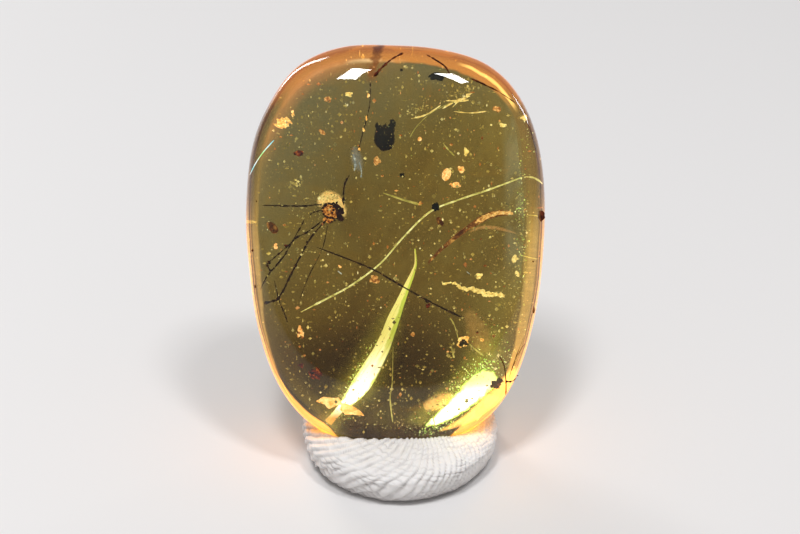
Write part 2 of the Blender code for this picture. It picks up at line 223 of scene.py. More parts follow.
class Wire:
    """One output of a node. Sums on it add the Math nodes that work them out."""

    def __init__(self, bench: Bench, socket: bpy.types.NodeSocket) -> None:
        """Keeps the bench that the nodes are added on."""
        self.bench, self.socket = bench, socket

    def _sum(self, operation: str, first: Number, second: Number) -> Wire:
        """A Math node of two values."""
        return self.bench.node("ShaderNodeMath", {"operation": operation}, {0: first, 1: second})

    def __add__(self, other: Number) -> Wire:
        """This plus other."""
        return self._sum("ADD", self, other)

    def __radd__(self, other: Number) -> Wire:
        """Other plus this."""
        return self._sum("ADD", other, self)

    def __sub__(self, other: Number) -> Wire:
        """This less other."""
        return self._sum("SUBTRACT", self, other)

    def __rsub__(self, other: Number) -> Wire:
        """Other less this."""
        return self._sum("SUBTRACT", other, self)

    def __mul__(self, other: Number) -> Wire:
        """This times other."""
        return self._sum("MULTIPLY", self, other)

    def __rmul__(self, other: Number) -> Wire:
        """Other times this."""
        return self._sum("MULTIPLY", other, self)

    def __truediv__(self, other: Number) -> Wire:
        """This over other."""
        return self._sum("DIVIDE", self, other)

    def __rtruediv__(self, other: Number) -> Wire:
        """A number divided by this value."""
        return self._sum("DIVIDE", other, self)

    def __pow__(self, other: Number) -> Wire:
        """This to the power of other."""
        return self._sum("POWER", self, other)

    def high(self, other: Number) -> Wire:
        """The larger of this and other."""
        return self._sum("MAXIMUM", self, other)

    def step(self, start: float, end: float) -> Wire:
        """A smooth step: 0 where this is start or before it, 1 from end on."""
        settings = {"interpolation_type": "SMOOTHSTEP"}
        return self.bench.node("ShaderNodeMapRange", settings, {0: self, 1: start, 2: end, 3: 0.0, 4: 1.0})

    def fall(self, start: float, end: float) -> Wire:
        """The reverse: 1 where this is start or before it, 0 from end on."""
        return 1 - self.step(start, end)

    def near(self, centre: Number, reach: float, fall: float) -> Wire:
        """A hump: 1 where this is at centre, 0 where its distance in reaches, squared, is fall or more."""
        off = (self - centre) / reach
        return (off * off).fall(0.0, fall)


Number = Union[Wire, float]


class Bench:
    """The node tree of one material, with one method that adds any node."""

    def __init__(self, name: str) -> None:
        """Starts a material with an empty tree.

        Args:
            name: its name.
        """
        self.material = bpy.data.materials.new(name)
        self.material.use_nodes = True
        self.tree = self.material.node_tree
        self.tree.nodes.clear()

    def node(
        self, kind: str, settings: dict | None = None, sockets: dict | None = None, out: int | str = 0
    ) -> Wire:
        """Adds a node.

        Args:
            kind: the node's type.
            settings: its properties, set first, and "stops" for a ramp's positions and colours.
            sockets: a value or a Wire for each input, by name, identifier or number.
            out: the output to hand back.

        Returns:
            A Wire on that output.
        """
        made = self.tree.nodes.new(kind)
        for key, value in (settings or {}).items():
            if key == "stops":
                self._lay_stops(made.color_ramp, value)
            else:
                setattr(made, key, value)
        for key, value in (sockets or {}).items():
            socket = self._find(made.inputs, key)
            if isinstance(value, Wire):
                self.tree.links.new(value.socket, socket)
            else:
                socket.default_value = value
        return Wire(self, self._find(made.outputs, out))

    @staticmethod
    def _find(sockets: bpy.types.bpy_prop_collection, key: int | str) -> bpy.types.NodeSocket:
        """Finds a socket.

        Args:
            sockets: a node's inputs or outputs.
            key: its number, identifier or name.

        Returns:
            The socket.
        """
        if isinstance(key, int):
            return sockets[key]
        return next((socket for socket in sockets if socket.identifier == key), None) or sockets[key]

    @staticmethod
    def _lay_stops(ramp: bpy.types.ColorRamp, stops: Stops) -> None:
        """Gives a ramp its stops.

        Args:
            ramp: the ramp.
            stops: positions and colours.
        """
        while len(ramp.elements) < len(stops):
            ramp.elements.new(1.0)
        for element, (position, colour) in zip(ramp.elements, stops):
            element.position, element.color = position, (*colour, 1.0)

    def face(self) -> tuple[Wire, Wire, Wire, Wire]:
        """The place on the stone's face, in millimetres.

        Returns:
            The place as a vector, and its x, y and z.
        """
        shift = Matrix.Rotation(STONE.lean, 3, "X") @ Vector(STONE.seat)
        settings = {"vector_type": "POINT"}
        values = {"Scale": (1 / MM,) * 3, "Rotation": (STONE.lean, 0, 0), "Location": -shift}
        values["Vector"] = self.node("ShaderNodeTexCoord", out="Object")
        place = self.node("ShaderNodeMapping", settings, values)
        parts = [self.node("ShaderNodeSeparateXYZ", sockets={0: place}, out=axis) for axis in "XYZ"]
        return (place, *parts)

    def row(self) -> Wire:
        """The place in the row frame, in millimetres."""
        return self.stretch(self.node("ShaderNodeTexCoord", out="Object"), (1 / MM,) * 3)

    def painted(self, name: str) -> Wire:
        """A value that the piece has at each vertex."""
        return self.node("ShaderNodeAttribute", {"attribute_name": name}, out="Fac")

    def stretch(self, place: Wire, scale: Colour, turn: float = 0.0) -> Wire:
        """A place turned in the plane of the face, then scaled on each axis."""
        turned = self.node("ShaderNodeMapping", None, {"Vector": place, "Rotation": (0.0, turn, 0.0)})
        return self.node("ShaderNodeMapping", None, {"Vector": turned, "Scale": scale})

    def grain(
        self, place: Wire, scale: float, detail: float = 3.0, rough: float = 0.55, warp: float = 0.0
    ) -> Wire:
        """Noise from 0 to 1 over a place, with so many humps a millimetre."""
        values = {"Vector": place, "Scale": scale, "Detail": detail, "Roughness": rough, "Distortion": warp}
        return self.node("ShaderNodeTexNoise", None, values)

    def mix(self, amount: Number, low: Wire | Colour, high: Wire | Colour, blend: str = "MIX") -> Wire:
        """Mixes two colours.

        Args:
            amount: the second one's share.
            low: the first.
            high: the second.
            blend: how they mix.

        Returns:
            The colour.
        """
        values = {"Factor_Float": amount}
        for key, colour in (("A_Color", low), ("B_Color", high)):
            values[key] = colour if isinstance(colour, Wire) else (*colour, 1.0)
        return self.node("ShaderNodeMix", {"data_type": "RGBA", "blend_type": blend}, values, "Result_Color")

    def tint(self, colour: Wire | Colour, by: Wire | Colour) -> Wire:
        """A colour times another."""
        return self.mix(1.0, colour, by, "MULTIPLY")

    def painted_glow(self, colour: Wire, glow: float, through: Wire | Colour = CLEARING) -> dict:
        """The sockets of a painted glow: a colour given off as emission in place of the light it would catch,
        tinted so that it looks right through the resin.
        """
        return {"Emission Color": self.tint(colour, through), "Emission Strength": glow * CLEAR_GAIN}

    def ramp(self, value: Wire, stops: Stops) -> Wire:
        """A colour by value."""
        return self.node("ShaderNodeValToRGB", {"stops": stops}, {0: value})

    def bump(self, height: Wire, strength: float, distance: float) -> Wire:
        """A normal from a height, with distance in millimetres."""
        values = {"Height": height, "Strength": strength, "Distance": distance * MM}
        return self.node("ShaderNodeBump", None, values)

    def close(self, shader: dict, volume: dict | None = None) -> Material:
        """Ends the tree in a Principled shader.

        Args:
            shader: the Principled shader's sockets.
            volume: the absorption's sockets, if light passes through.

        Returns:
            The material.
        """
        out = {"Surface": self.node("ShaderNodeBsdfPrincipled", None, shader)}
        if volume:
            out["Volume"] = self.node("ShaderNodeVolumeAbsorption", None, volume)
        self.material.cycles.emission_sampling = "NONE"
        ending = self.tree.nodes.new("ShaderNodeOutputMaterial")
        for key, wire in out.items():
            self.tree.links.new(wire.socket, ending.inputs[key])
        return self.material


# ---- finishes ----


class Slot(Enum):
    """The record's material slots."""

    AMBER = "amber"
    TACK = "tack"
    CHITIN_BROWN = "chitin_brown"
    CHITIN_BLACK = "chitin_black"
    LEAF = "leaf"
    STRAND = "strand"
    BARK = "bark"
    CREAM = "cream_debris"
    RUST = "rust_debris"
    RESIN = "resin_gold"


class Finish(Protocol):
    """What a piece is dressed in."""

    @property
    def slot(self) -> Slot:
        """The record's slot."""

    def material(self) -> Material:
        """Makes the material."""


@dataclass(frozen=True)
class Mottle:
    """A finish of three colours that run into each other over a grain, with a painted glow of the same
    colours given off as emission in place of light.
    """

    name: str
    slot: Slot
    stops: Stops
    scale: float = 3.0
    # glow: how strong the painted glow is
    glow: float = 0.5
    roughness: float = 0.5
    relief: float = 0.3
    coat: float = 0.0

    def material(self) -> Material:
        """Makes the material.

        Returns:
            The material.
        """
        bench = Bench(self.name)
        place, *_ = bench.face()
        grain = bench.grain(place, self.scale, 4.0, 0.6, 0.4)
        fine = bench.grain(place, self.scale * 4, 2.0)
        colour = bench.ramp(grain * 0.8 + fine * 0.2, self.stops)
        shader = {
            "Base Color": colour,
            "Roughness": self.roughness + 0.25 * (fine - 0.5),
            "Coat Weight": self.coat,
            "Specular IOR Level": 0.12,
            "Normal": bench.bump(grain, self.relief, 0.1),
            **bench.painted_glow(colour, self.glow),
        }
        return bench.close(shader)


BROWN_CHITIN = Mottle(
    "chitin brown", Slot.CHITIN_BROWN,
    ((0.36, (0.03, 0.007, 0.001)), (0.52, (0.16, 0.05, 0.007)), (0.66, (0.55, 0.26, 0.06))),
    4.0, 0.5, 0.35, 0.4, 0.4,
)
DARK_CHITIN = Mottle(
    "chitin dark", Slot.CHITIN_BROWN,
    ((0.47, (0.008, 0.003, 0.001)), (0.6, (0.05, 0.018, 0.004)), (0.72, (0.55, 0.34, 0.11))),
    7.0, 0.4, 0.4, 0.3, 0.3,
)
MAROON = Mottle(
    "chitin maroon", Slot.CHITIN_BROWN,
    ((0.38, (0.008, 0.002, 0.001)), (0.58, (0.035, 0.006, 0.004)), (0.75, (0.14, 0.03, 0.01))),
    5.0, 0.4, 0.3, 0.4, 0.5,
)
HONEY_CHITIN = Mottle(
    "chitin honey", Slot.CHITIN_BROWN,
    ((0.4, (0.1, 0.022, 0.004)), (0.51, (0.62, 0.22, 0.04)), (0.64, (1.0, 0.54, 0.17))),
    6.0, 0.8, 0.4, 0.6, 0.3,
)
BLACK_CHITIN = Mottle(
    "chitin black", Slot.CHITIN_BLACK,
    ((0.4, (0.003, 0.002, 0.002)), (0.66, (0.008, 0.005, 0.003)), (0.8, (0.035, 0.012, 0.005))),
    2.5, 0.12, 0.35, 0.4, 0.4,
)
SOOT = Mottle(
    "soot", Slot.CHITIN_BLACK,
    ((0.4, (0.003, 0.004, 0.002)), (0.6, (0.012, 0.016, 0.007)), (0.8, (0.06, 0.07, 0.03))),
    5.0, 0.15, 0.6, 0.4,
)
BARK = Mottle(
    "bark", Slot.BARK,
    ((0.4, (0.07, 0.022, 0.006)), (0.54, (0.2, 0.075, 0.018)), (0.68, (0.6, 0.34, 0.11))),
    3.0, 0.8, 0.6, 0.5,
)
TAN_HEAD = Mottle(
    "tan head", Slot.BARK,
    ((0.35, (0.3, 0.12, 0.03)), (0.5, (0.68, 0.38, 0.13)), (0.64, (0.95, 0.7, 0.36))),
    6.0, 1.0, 0.6, 0.5,
)
STRAND_SKIN = Mottle(
    "strand", Slot.STRAND,
    ((0.34, (0.3, 0.27, 0.08)), (0.5, (0.56, 0.55, 0.24)), (0.66, (0.95, 0.93, 0.66))),
    3.2, 1.2, 0.45, 0.3,
)
CREAM = Mottle(
    "cream crumb", Slot.CREAM,
    ((0.32, (0.26, 0.07, 0.012)), (0.46, (0.8, 0.36, 0.11)), (0.62, (1.0, 0.74, 0.42))),
    5.0, 1.2, 0.7, 0.6,
)
GOLD = Mottle(
    "gold crumb", Slot.RESIN,
    ((0.34, (0.12, 0.03, 0.008)), (0.5, (0.5, 0.22, 0.06)), (0.66, (0.9, 0.62, 0.28))),
    6.0, 1.0, 0.6, 0.6,
)
GOLD_BRIGHT = Mottle(
    "gold bright", Slot.RESIN,
    ((0.34, (0.35, 0.12, 0.02)), (0.5, (0.85, 0.46, 0.13)), (0.64, (1.0, 0.82, 0.4))),
    6.0, 1.15, 0.6, 0.6,
)
BRACT = Mottle(
    "bract", Slot.RESIN,
    ((0.3, (0.6, 0.2, 0.03)), (0.46, (0.95, 0.45, 0.13)), (0.64, (1.0, 0.76, 0.38))),
    3.0, 1.3, 0.6, 0.4,
)
TWIG = Mottle(
    "twig", Slot.CREAM,
    ((0.3, (0.38, 0.24, 0.07)), (0.48, (0.72, 0.54, 0.2)), (0.64, (0.95, 0.82, 0.42))),
    5.0, 1.1, 0.7, 0.5,
)
RUST = Mottle(
    "rust crumb", Slot.RUST,
    ((0.43, (0.004, 0.001, 0.0005)), (0.56, (0.26, 0.03, 0.003)), (0.69, (0.95, 0.36, 0.06))),
    5.0, 0.6, 0.5, 0.5,
)
DARK_RUST = Mottle(
    "dark chip", Slot.RUST,
    ((0.46, (0.004, 0.001, 0.0005)), (0.6, (0.05, 0.01, 0.002)), (0.76, (0.5, 0.15, 0.03))),
    4.0, 0.5, 0.5, 0.5,
)
DUST_GOLD = Mottle(
    "gold dust", Slot.RESIN,
    ((0.38, (0.1, 0.085, 0.03)), (0.54, (0.36, 0.28, 0.09)), (0.68, (1.0, 0.86, 0.42))),
    1.7, 1.0, 0.6, 0.1,
)
DUST_ORANGE = Mottle(
    "orange dust", Slot.RESIN,
    ((0.36, (0.12, 0.035, 0.01)), (0.52, (0.42, 0.16, 0.045)), (0.66, (1.0, 0.55, 0.24))),
    1.7, 0.9, 0.6, 0.1,
)
# Painted glints: tiny specks that give off pale green light round the leaf's foot and the fracture.
SPARKLE = Mottle(
    "green sparkle", Slot.RESIN,
    ((0.36, (0.1, 0.22, 0.03)), (0.5, (0.42, 0.62, 0.14)), (0.62, (0.95, 1.0, 0.66))),
    2.5, 1.5, 0.4, 0.1,
)
CRACK_BROWN = Mottle(
    "crack brown", Slot.RUST,
    ((0.42, (0.012, 0.002, 0.001)), (0.58, (0.09, 0.016, 0.004)), (0.74, (0.5, 0.18, 0.05))),
    2.2, 0.35, 0.6, 0.2,
)
HAIR_GOLD = Mottle(
    "hair gold", Slot.RESIN,
    ((0.34, (0.2, 0.18, 0.05)), (0.5, (0.4, 0.36, 0.11)), (0.66, (0.75, 0.66, 0.26))),
    1.5, 0.9, 0.6, 0.1,
)
PALE_MIST = Mottle(
    "pale mist", Slot.CREAM,
    ((0.36, (0.16, 0.2, 0.26)), (0.5, (0.34, 0.4, 0.52)), (0.66, (0.8, 0.86, 0.95))),
    3.5, 0.7, 0.6, 0.1,
)


class AmberFace:
    """The wires that the amber's masks share."""

    def __init__(self, band_reach: float) -> None:
        """Lays them on a bench of their own.

        Args:
            band_reach: how far in from the rim its lines run, in millimetres.
        """
        self.bench = bench = Bench("amber")
        self.place, self.x, _, self.z = bench.face()
        self.inset = STONE.half_width * (1 - bench.painted("rim"))
        self.soft = bench.grain(self.place, 0.45, 3.0, 0.5, 0.8)
        self.wander = bench.grain(bench.stretch(self.place, (0.8, 0.8, 0.35)), 1.0, 2.0, 0.5)
        self.line = self.inset / band_reach + 0.14 * (self.wander - 0.5)
        self.side = self.x.step(3.0, 7.0)
        self.top = self.z.step(20.5, 22.5)
        # where the painted light of the rim band is dimmed to brown, high up the sides
        skin = 1 - self.inset.step(0.45, 0.9) * (1 - self.side)
        self.dull = self.z.step(13.0, 16.0) * self.z.fall(20.0, 22.0) * skin


@dataclass(frozen=True)
class AmberFinish:
    """Clear resin: olive in the body, rust where the stain runs down, and painted light: a band of refracted
    light, tan and then orange, towards the rim, and glows given off as emission.

    Its places on the face, here and below, are in millimetres.
    """

    slot: Slot = Slot.AMBER
    absorbed: Colour = (0.68, 0.57, 0.0)
    density: float = 345.0
    # what light it lets through; tan, pale, copper, orange and brown paint the band of refracted light at the
    # rim, and foot_shade is painted shade low down
    olive: Colour = (0.47, 0.42, 0.26)
    grey: Colour = (0.35, 0.37, 0.4)
    gold: Colour = (0.52, 0.41, 0.17)
    dusk: Colour = (0.225, 0.15, 0.045)
    tan: Colour = (0.76, 0.5, 0.17)
    pale: Colour = (0.96, 0.73, 0.38)
    copper: Colour = (0.85, 0.38, 0.15)
    orange: Colour = (1.0, 0.48, 0.08)
    rust: Colour = (0.42, 0.12, 0.05)
    brown: Colour = (0.28, 0.205, 0.1)
    foot_shade: Colour = (0.12, 0.1, 0.06)
    # painted light: what it gives off as emission, in place of the light that its rim and what it holds catch
    # and refract
    lime_glow: Colour = (0.46, 0.42, 0.075)
    warm_glow: Colour = (0.8, 0.4, 0.1)
    veil_glow: Colour = (0.055, 0.075, 0.05)
    haze_glow: Colour = (0.034, 0.036, 0.03)
    stain_glow: Colour = (0.085, 0.014, 0.004)
    band_shade: Colour = (0.03, 0.008, 0.001)
    upper_dim: Colour = (0.26, 0.22, 0.18)
    dull_glow: Colour = (0.03, 0.02, 0.01)
    top_glow: Colour = (0.46, 0.14, 0.028)
    cream_glow: Colour = (0.85, 0.55, 0.26)
    blush_glow: Colour = (0.6, 0.19, 0.06)
    glint_glow: Colour = (1.3, 0.75, 0.18)
    foot_glow_outer: Colour = (1.7, 0.62, 0.05)
    foot_glow_inner: Colour = (2.0, 0.9, 0.14)
    # painted light: what the rim gives off in lines of refracted light, by how far in it is as a share of
    # band_reach
    band_reach: float = 1.6
    lines: Stops = (
        (0.0, (0.12, 0.03, 0.004)), (0.05, (0.95, 0.38, 0.06)), (0.12, (1.0, 0.55, 0.14)),
        (0.18, (0.06, 0.015, 0.002)), (0.22, (0.55, 0.27, 0.07)), (0.27, (0.09, 0.035, 0.008)),
        (0.33, (0.3, 0.17, 0.05)), (0.6, (0.36, 0.21, 0.055)), (0.7, (0.2, 0.13, 0.04)),
    )
    # how much light the same painted lines of refracted light let through
    line_tints: Stops = (
        (0.0, (0.35, 0.18, 0.06)), (0.05, (0.95, 0.68, 0.36)), (0.12, (1.0, 0.72, 0.4)),
        (0.165, (0.1, 0.04, 0.01)), (0.205, (0.95, 0.7, 0.4)), (0.25, (0.15, 0.08, 0.03)),
        (0.31, (0.76, 0.73, 0.66)),
    )
    # where the painted glow lies in the resin round what it holds: x, z, reach, and how strongly
    lit: tuple[Row, ...] = (
        (-4.35, 1.35, 1.0, 0.9), (-2.0, 3.9, 1.6, 0.07), (4.2, 2.6, 1.8, 0.27), (6.8, 3.2, 1.2, 0.35),
        (5.2, 5.6, 2.4, 0.12), (7.2, 9.0, 2.4, 0.08), (1.6, 2.0, 1.8, 0.14), (-0.6, 2.4, 1.6, 0.08),
        (5.4, 19.5, 2.6, 0.04), (0.6, 21.0, 2.6, 0.03),
    )

    def material(self) -> Material:
        """Makes the material.

        Returns:
            The material.
        """
        at = AmberFace(self.band_reach)
        bench, z = at.bench, at.z
        past_band = at.inset - (self._band_width(at) + 0.3 * (at.soft - 0.5))
        in_band = self._in_band(at, past_band)
        stain = self._stain(at)
        colour = bench.mix(in_band, self._body(at), self._rim(at))
        colour = bench.mix(stain, colour, self.rust)
        colour = bench.mix(z.fall(1.3, 1.9) * (1 - in_band) * 0.6, colour, self.foot_shade)
        glow = bench.mix(in_band, self._body_glow(at), self._rim_glow(at))
        glow = bench.mix(stain, glow, self.stain_glow)
        glow = bench.mix(self._band_shade_mask(at, past_band) * 0.8, glow, self.band_shade)
        shader = {
            "Base Color": colour,
            "Roughness": 0.0,
            "IOR": 1.54,
            "Transmission Weight": 1.0,
            "Emission Color": glow,
            "Emission Strength": 1.0,
            "Normal": bench.bump(bench.grain(at.place, 0.35, 1.0), 0.25, 0.04),
        }
        return bench.close(shader, {"Color": (*self.absorbed, 1.0), "Density": self.density})

    def _body(self, at: AmberFace) -> Wire:
        """Colours the body: greyer high up on the left, golden to the right, dusky low down.

        Args:
            at: the wires.

        Returns:
            The colour.
        """
        bench, x, z = at.bench, at.x, at.z
        wide = bench.grain(at.place, 0.16, 2.0, 0.5, 0.6)
        high_left = (z - x * 0.8 + 6.0 * (wide - 0.5)).step(12.0, 26.0)
        body = bench.mix(high_left, self.olive, self.grey)
        body = bench.mix(at.soft.step(0.42, 0.7) * 0.6, body, self.gold)
        murk = bench.grain(bench.stretch(at.place, (0.5, 1.0, 0.22), math.radians(-24)), 1.0, 4.0, 0.6, 0.5)
        body = bench.mix(murk.step(0.44, 0.66) * (1 - high_left) * 0.5, body, self.dusk)
        low = (z + 5.0 * (wide - 0.5)).fall(4.0, 12.0) * (0.35 + 0.65 * (z + x * 0.15).step(1.0, 3.0))
        left = 1 - 0.75 * x.step(1.0, 6.0)
        return bench.mix(low * left * (0.45 + 0.55 * z.step(2.5, 5.5)), body, self.dusk)

    def _rim(self, at: AmberFace) -> Wire:
        """Colours the bright band, a painted picture of the light refracted at the rim, with lines that
        follow the rim.

        Args:
            at: the wires.

        Returns:
            The colour.
        """
        bench, z, inset = at.bench, at.z, at.inset
        streaks = bench.grain(bench.stretch(at.place, (5.0, 1.0, 0.22)), 1.0, 3.0, 0.6)
        tan = bench.mix(streaks.step(0.42, 0.66), self.tan, self.pale)
        tan = bench.mix(at.top, tan, self.copper)
        tan = bench.mix(z.fall(2.0, 9.0), tan, self.orange)
        tan = bench.mix(inset.fall(0.22, 0.42), tan, self.orange)
        line_tinted = bench.tint(tan, bench.ramp(at.line, self.line_tints))
        tan = bench.mix(z.fall(12.0, 17.0) * (1 - 0.6 * at.side), tan, line_tinted)
        return bench.mix(at.dull * 0.85, tan, self.brown)

    def _band_width(self, at: AmberFace) -> Wire:
        """Works out how far in from the rim the bright band reaches.

        Args:
            at: the wires.

        Returns:
            The width, in millimetres.
        """
        x, z = at.x, at.z
        right = x.step(2.0, 7.0) * z.fall(17.0, 21.0) * 0.4
        foot = (x * x).step(9.0, 20.0) * z.fall(1.0, 5.0) * 0.35
        sides = (x * x + z * 6.0).step(8.0, 30.0) * 0.24 + z.step(3.0, 12.0) * 0.46
        return 0.16 + sides + right + foot + z.step(20.0, 23.0) * 0.2

    def _in_band(self, at: AmberFace, past_band: Wire) -> Wire:
        """Masks the bright band, whose inner edge is blurred on the upper left.

        Args:
            at: the wires.
            past_band: how far in past its edge a place is.

        Returns:
            The mask.
        """
        blurred = at.z.step(13.0, 18.0) * at.x.fall(-3.0, 1.0)
        sharp = past_band.fall(-0.1, 0.08)
        return sharp * (1 - 0.8 * blurred) + past_band.fall(-1.0, 1.1) * 0.8 * blurred

    def _band_shade_mask(self, at: AmberFace, past_band: Wire) -> Wire:
        """Masks a painted shade: the dark line along the band's inner edge, low down and up the right side.
        """
        shown = at.z.fall(7.0, 12.0).high(at.side * at.z.fall(19.0, 21.0) * 0.8)
        return past_band.near(0.07, 0.07, 1.2) * shown * (at.x * at.x).step(9.0, 16.0)

    def _stain(self, at: AmberFace) -> Wire:
        """Masks the rust stain that runs down from the top.

        Args:
            at: the wires.

        Returns:
            The mask.
        """
        ragged = at.bench.grain(at.place, 1.6, 4.0, 0.65)
        off = at.x + 1.05 + 1.1 * (ragged - 0.5) + 0.25 * (24.2 - at.z)
        return (off * off).fall(0.01, 0.14) * at.z.step(22.2, 22.9) * ragged.step(0.25, 0.42) * 0.9

    def _lit(self, at: AmberFace) -> Wire:
        """Works out where the painted glow lies in the resin, most round the leaf's foot and the fracture.

        Args:
            at: the wires.

        Returns:
            How strongly.
        """
        total: Number = 0.0
        for spot_x, spot_z, reach, most in self.lit:
            away = ((at.x - spot_x) ** 2 + (at.z - spot_z) ** 2) / reach**2
            total = total + most / (1 + away) ** 3
        return total * (0.45 + 1.1 * at.bench.grain(at.place, 0.9, 4.0, 0.65))

    def _body_glow(self, at: AmberFace) -> Wire:
        """Paints light on the body as emission: lime and orange spots, a veil up the right side and a haze.

        Args:
            at: the wires.

        Returns:
            The light.
        """
        bench, x, z = at.bench, at.x, at.z
        under = z.fall(1.45, 2.0) * (x - 0.6).fall(4.0, 5.2) * (x + 2.9).step(-0.3, 0.4)
        warm = (x - z * 0.35).step(3.0, 5.6).high((x + z * 0.5).step(-2.4, -4.4))
        glow = bench.mix(warm, self.lime_glow, self.warm_glow)
        glow = bench.tint(glow, self._lit(at) * (1 - under))
        veil = x.near(7.3, 0.75, 1.6) * z.step(9.0, 13.0) * at.soft.step(0.3, 0.65)
        glow = bench.mix(veil, glow, self.veil_glow)
        haze = (x * 0.7 - z + 3.0 * (at.soft - 0.5)).step(-17.0, -24.0)
        return bench.mix(haze * 0.4, glow, self.haze_glow)

    def _rim_glow(self, at: AmberFace) -> Wire:
        """Paints the rim's light as emission, in lines along it, orange low down and rust at the top.

        Args:
            at: the wires.

        Returns:
            The light.
        """
        bench, x, z, inset = at.bench, at.x, at.z, at.inset
        fine = bench.grain(bench.stretch(at.place, (0.6, 1.0, 7.0), math.radians(-4)), 1.0, 2.0, 0.6)
        lines = bench.ramp(at.line, self.lines)
        lines = bench.mix(fine.step(0.45, 0.7) * 0.5, lines, bench.tint(lines, (1.6,) * 3))
        dim = bench.mix(z.step(10.0, 18.0) * (1 - 0.25 * at.side), (1.0,) * 3, self.upper_dim)
        lines = bench.tint(lines, dim)
        lines = bench.mix(at.dull * 0.75, lines, self.dull_glow)
        lines = bench.mix(at.top * 0.85, lines, self.top_glow)
        # painted light: a cream line under the top, a blush on the upper left and a glint on the right
        cream = at.top * inset.step(0.8, 0.95) * inset.fall(1.0, 1.2) * at.wander.step(0.35, 0.55)
        cream = cream * x.fall(-1.2, 1.0) * (x + 6.5).step(0.0, 2.0)
        lines = bench.mix(cream, lines, self.cream_glow)
        blush = inset.near(1.15, 0.45, 1.6) * z.step(17.0, 20.0) * x.fall(-4.0, -1.5)
        lines = bench.mix(blush * 0.9, lines, self.blush_glow)
        glint = (inset - 0.3 * (at.wander - 0.5)).near(0.62, 0.11, 1.4)
        glint = glint * x.step(3.6, 4.6) * x.fall(6.9, 7.6) * z.step(20.4, 21.2)
        lines = bench.mix(glint, lines, self.glint_glow)
        # painted glow: light gathered in the foot of the rim
        low = bench.mix(inset.step(0.05, 0.7), self.foot_glow_outer, self.foot_glow_inner)
        foot = z.fall(1.0, 8.5) * (0.3 + 0.7 * (x * x).step(6.0, 20.0)) * (0.8 - 0.35 * at.side)
        return bench.mix(foot, lines, low)


@dataclass(frozen=True)
class TackFinish:
    """Matt white putty, with painted shade in its creases and towards the bottom."""

    slot: Slot = Slot.TACK
    light: Colour = (0.93, 0.905, 0.89)
    patch: Colour = (0.8, 0.77, 0.77)
    crease: Colour = (0.3, 0.27, 0.255)

    def material(self) -> Material:
        """Makes the material.

        Returns:
            The material.
        """
        bench = Bench("tack")
        place = bench.row()
        fine = bench.grain(place, 6.0, 4.0, 0.65)
        wide = bench.grain(place, 0.7, 2.0)
        height = bench.node("ShaderNodeSeparateXYZ", sockets={0: place}, out="Z")
        # painted shade: darker towards the bottom and in the creases
        low = (height + 0.8 * (wide - 0.5)).fall(0.0, 1.3)
        crease_shade = bench.painted("crease") * (0.42 + 0.55 * fine)
        colour = bench.mix(crease_shade, self.light, self.crease)
        colour = bench.mix(low * 0.55, colour, self.crease)
        colour = bench.mix(wide.step(0.5, 0.8) * 0.25, colour, self.patch)
        shader = {
            "Base Color": colour,
            "Roughness": 0.62 + 0.2 * fine,
            "Subsurface Weight": 0.15,
            "Subsurface Radius": (0.4 * MM, 0.35 * MM, 0.3 * MM),
            "Subsurface Scale": 1.0,
            "Normal": bench.bump(fine, 0.5, 0.05),
        }
        return bench.close(shader)


@dataclass(frozen=True)
class LeafFinish:
    """Leaf tissue: tan at its tip, lime in the middle, white where light catches it, orange at its foot."""

    slot: Slot = Slot.LEAF
    # colours up the leaf; the white from 0.13 to 0.36 is a painted highlight where light catches it
    along: Stops = (
        (0.0, (0.45, 0.14, 0.02)), (0.06, (0.6, 0.26, 0.06)), (0.13, (1.0, 0.95, 0.7)),
        (0.36, (1.0, 1.0, 0.8)), (0.5, (0.92, 0.92, 0.42)), (0.78, (0.78, 0.76, 0.32)),
        (0.9, (0.6, 0.46, 0.18)), (1.0, (0.42, 0.25, 0.09)),
    )
    green: Colour = (0.44, 0.56, 0.07)
    cream: Colour = (0.88, 0.8, 0.32)
    fringe: Colour = (0.42, 0.62, 0.05)
    vein: Colour = (0.42, 0.46, 0.06)
    line: Colour = (0.02, 0.02, 0.005)
    heat: Colour = (1.35, 1.42, 3.0)
    foot: float = 1.5
    length: float = 10.9
    glow: float = 1.15

    def material(self) -> Material:
        """Makes the material.

        Returns:
            The material.
        """
        bench = Bench("leaf")
        place, _, _, z = bench.face()
        colour = bench.ramp((z - self.foot) / self.length, self.along)
        across = bench.painted("across")
        veins = bench.grain(bench.stretch(place, (9.0, 6.0, 0.5), math.radians(-30)), 1.0, 3.0)
        blotch = bench.grain(place, 2.2, 3.0)
        # where light catches the leaf: painted white, its glow raised by heat
        hot = z.step(2.0, 3.2) * z.fall(4.4, 7.4)
        upper = z.step(3.0, 6.0)
        side = across + 0.35 * (blotch - 0.5)
        colour = bench.mix(side.fall(0.4, 0.52) * (1 - hot) * upper * 0.6, colour, self.cream)
        colour = bench.mix(side.step(0.5, 0.66) * (1 - 0.8 * hot) * upper * 0.85, colour, self.green)
        fringe = side.fall(0.0, 0.22) * hot + side.step(0.86, 1.0) * hot
        colour = bench.mix(fringe * 0.9, colour, self.fringe)
        colour = bench.mix(veins.step(0.5, 0.7) * (1 - 0.5 * hot) * 0.6, colour, self.vein)
        edge = across.step(0.92, 0.96) * z.step(4.0, 5.5) * z.fall(9.5, 11.0)
        colour = bench.mix(edge * 0.9, colour, self.line)
        shader = {
            "Base Color": colour,
            "Roughness": 0.5,
            "Normal": bench.bump(veins, 0.5, 0.05),
            # painted light: the leaf gives off its own colour as emission, much more where light catches it
            **bench.painted_glow(colour, self.glow, bench.mix(hot, CLEARING, self.heat)),
        }
        return bench.close(shader)


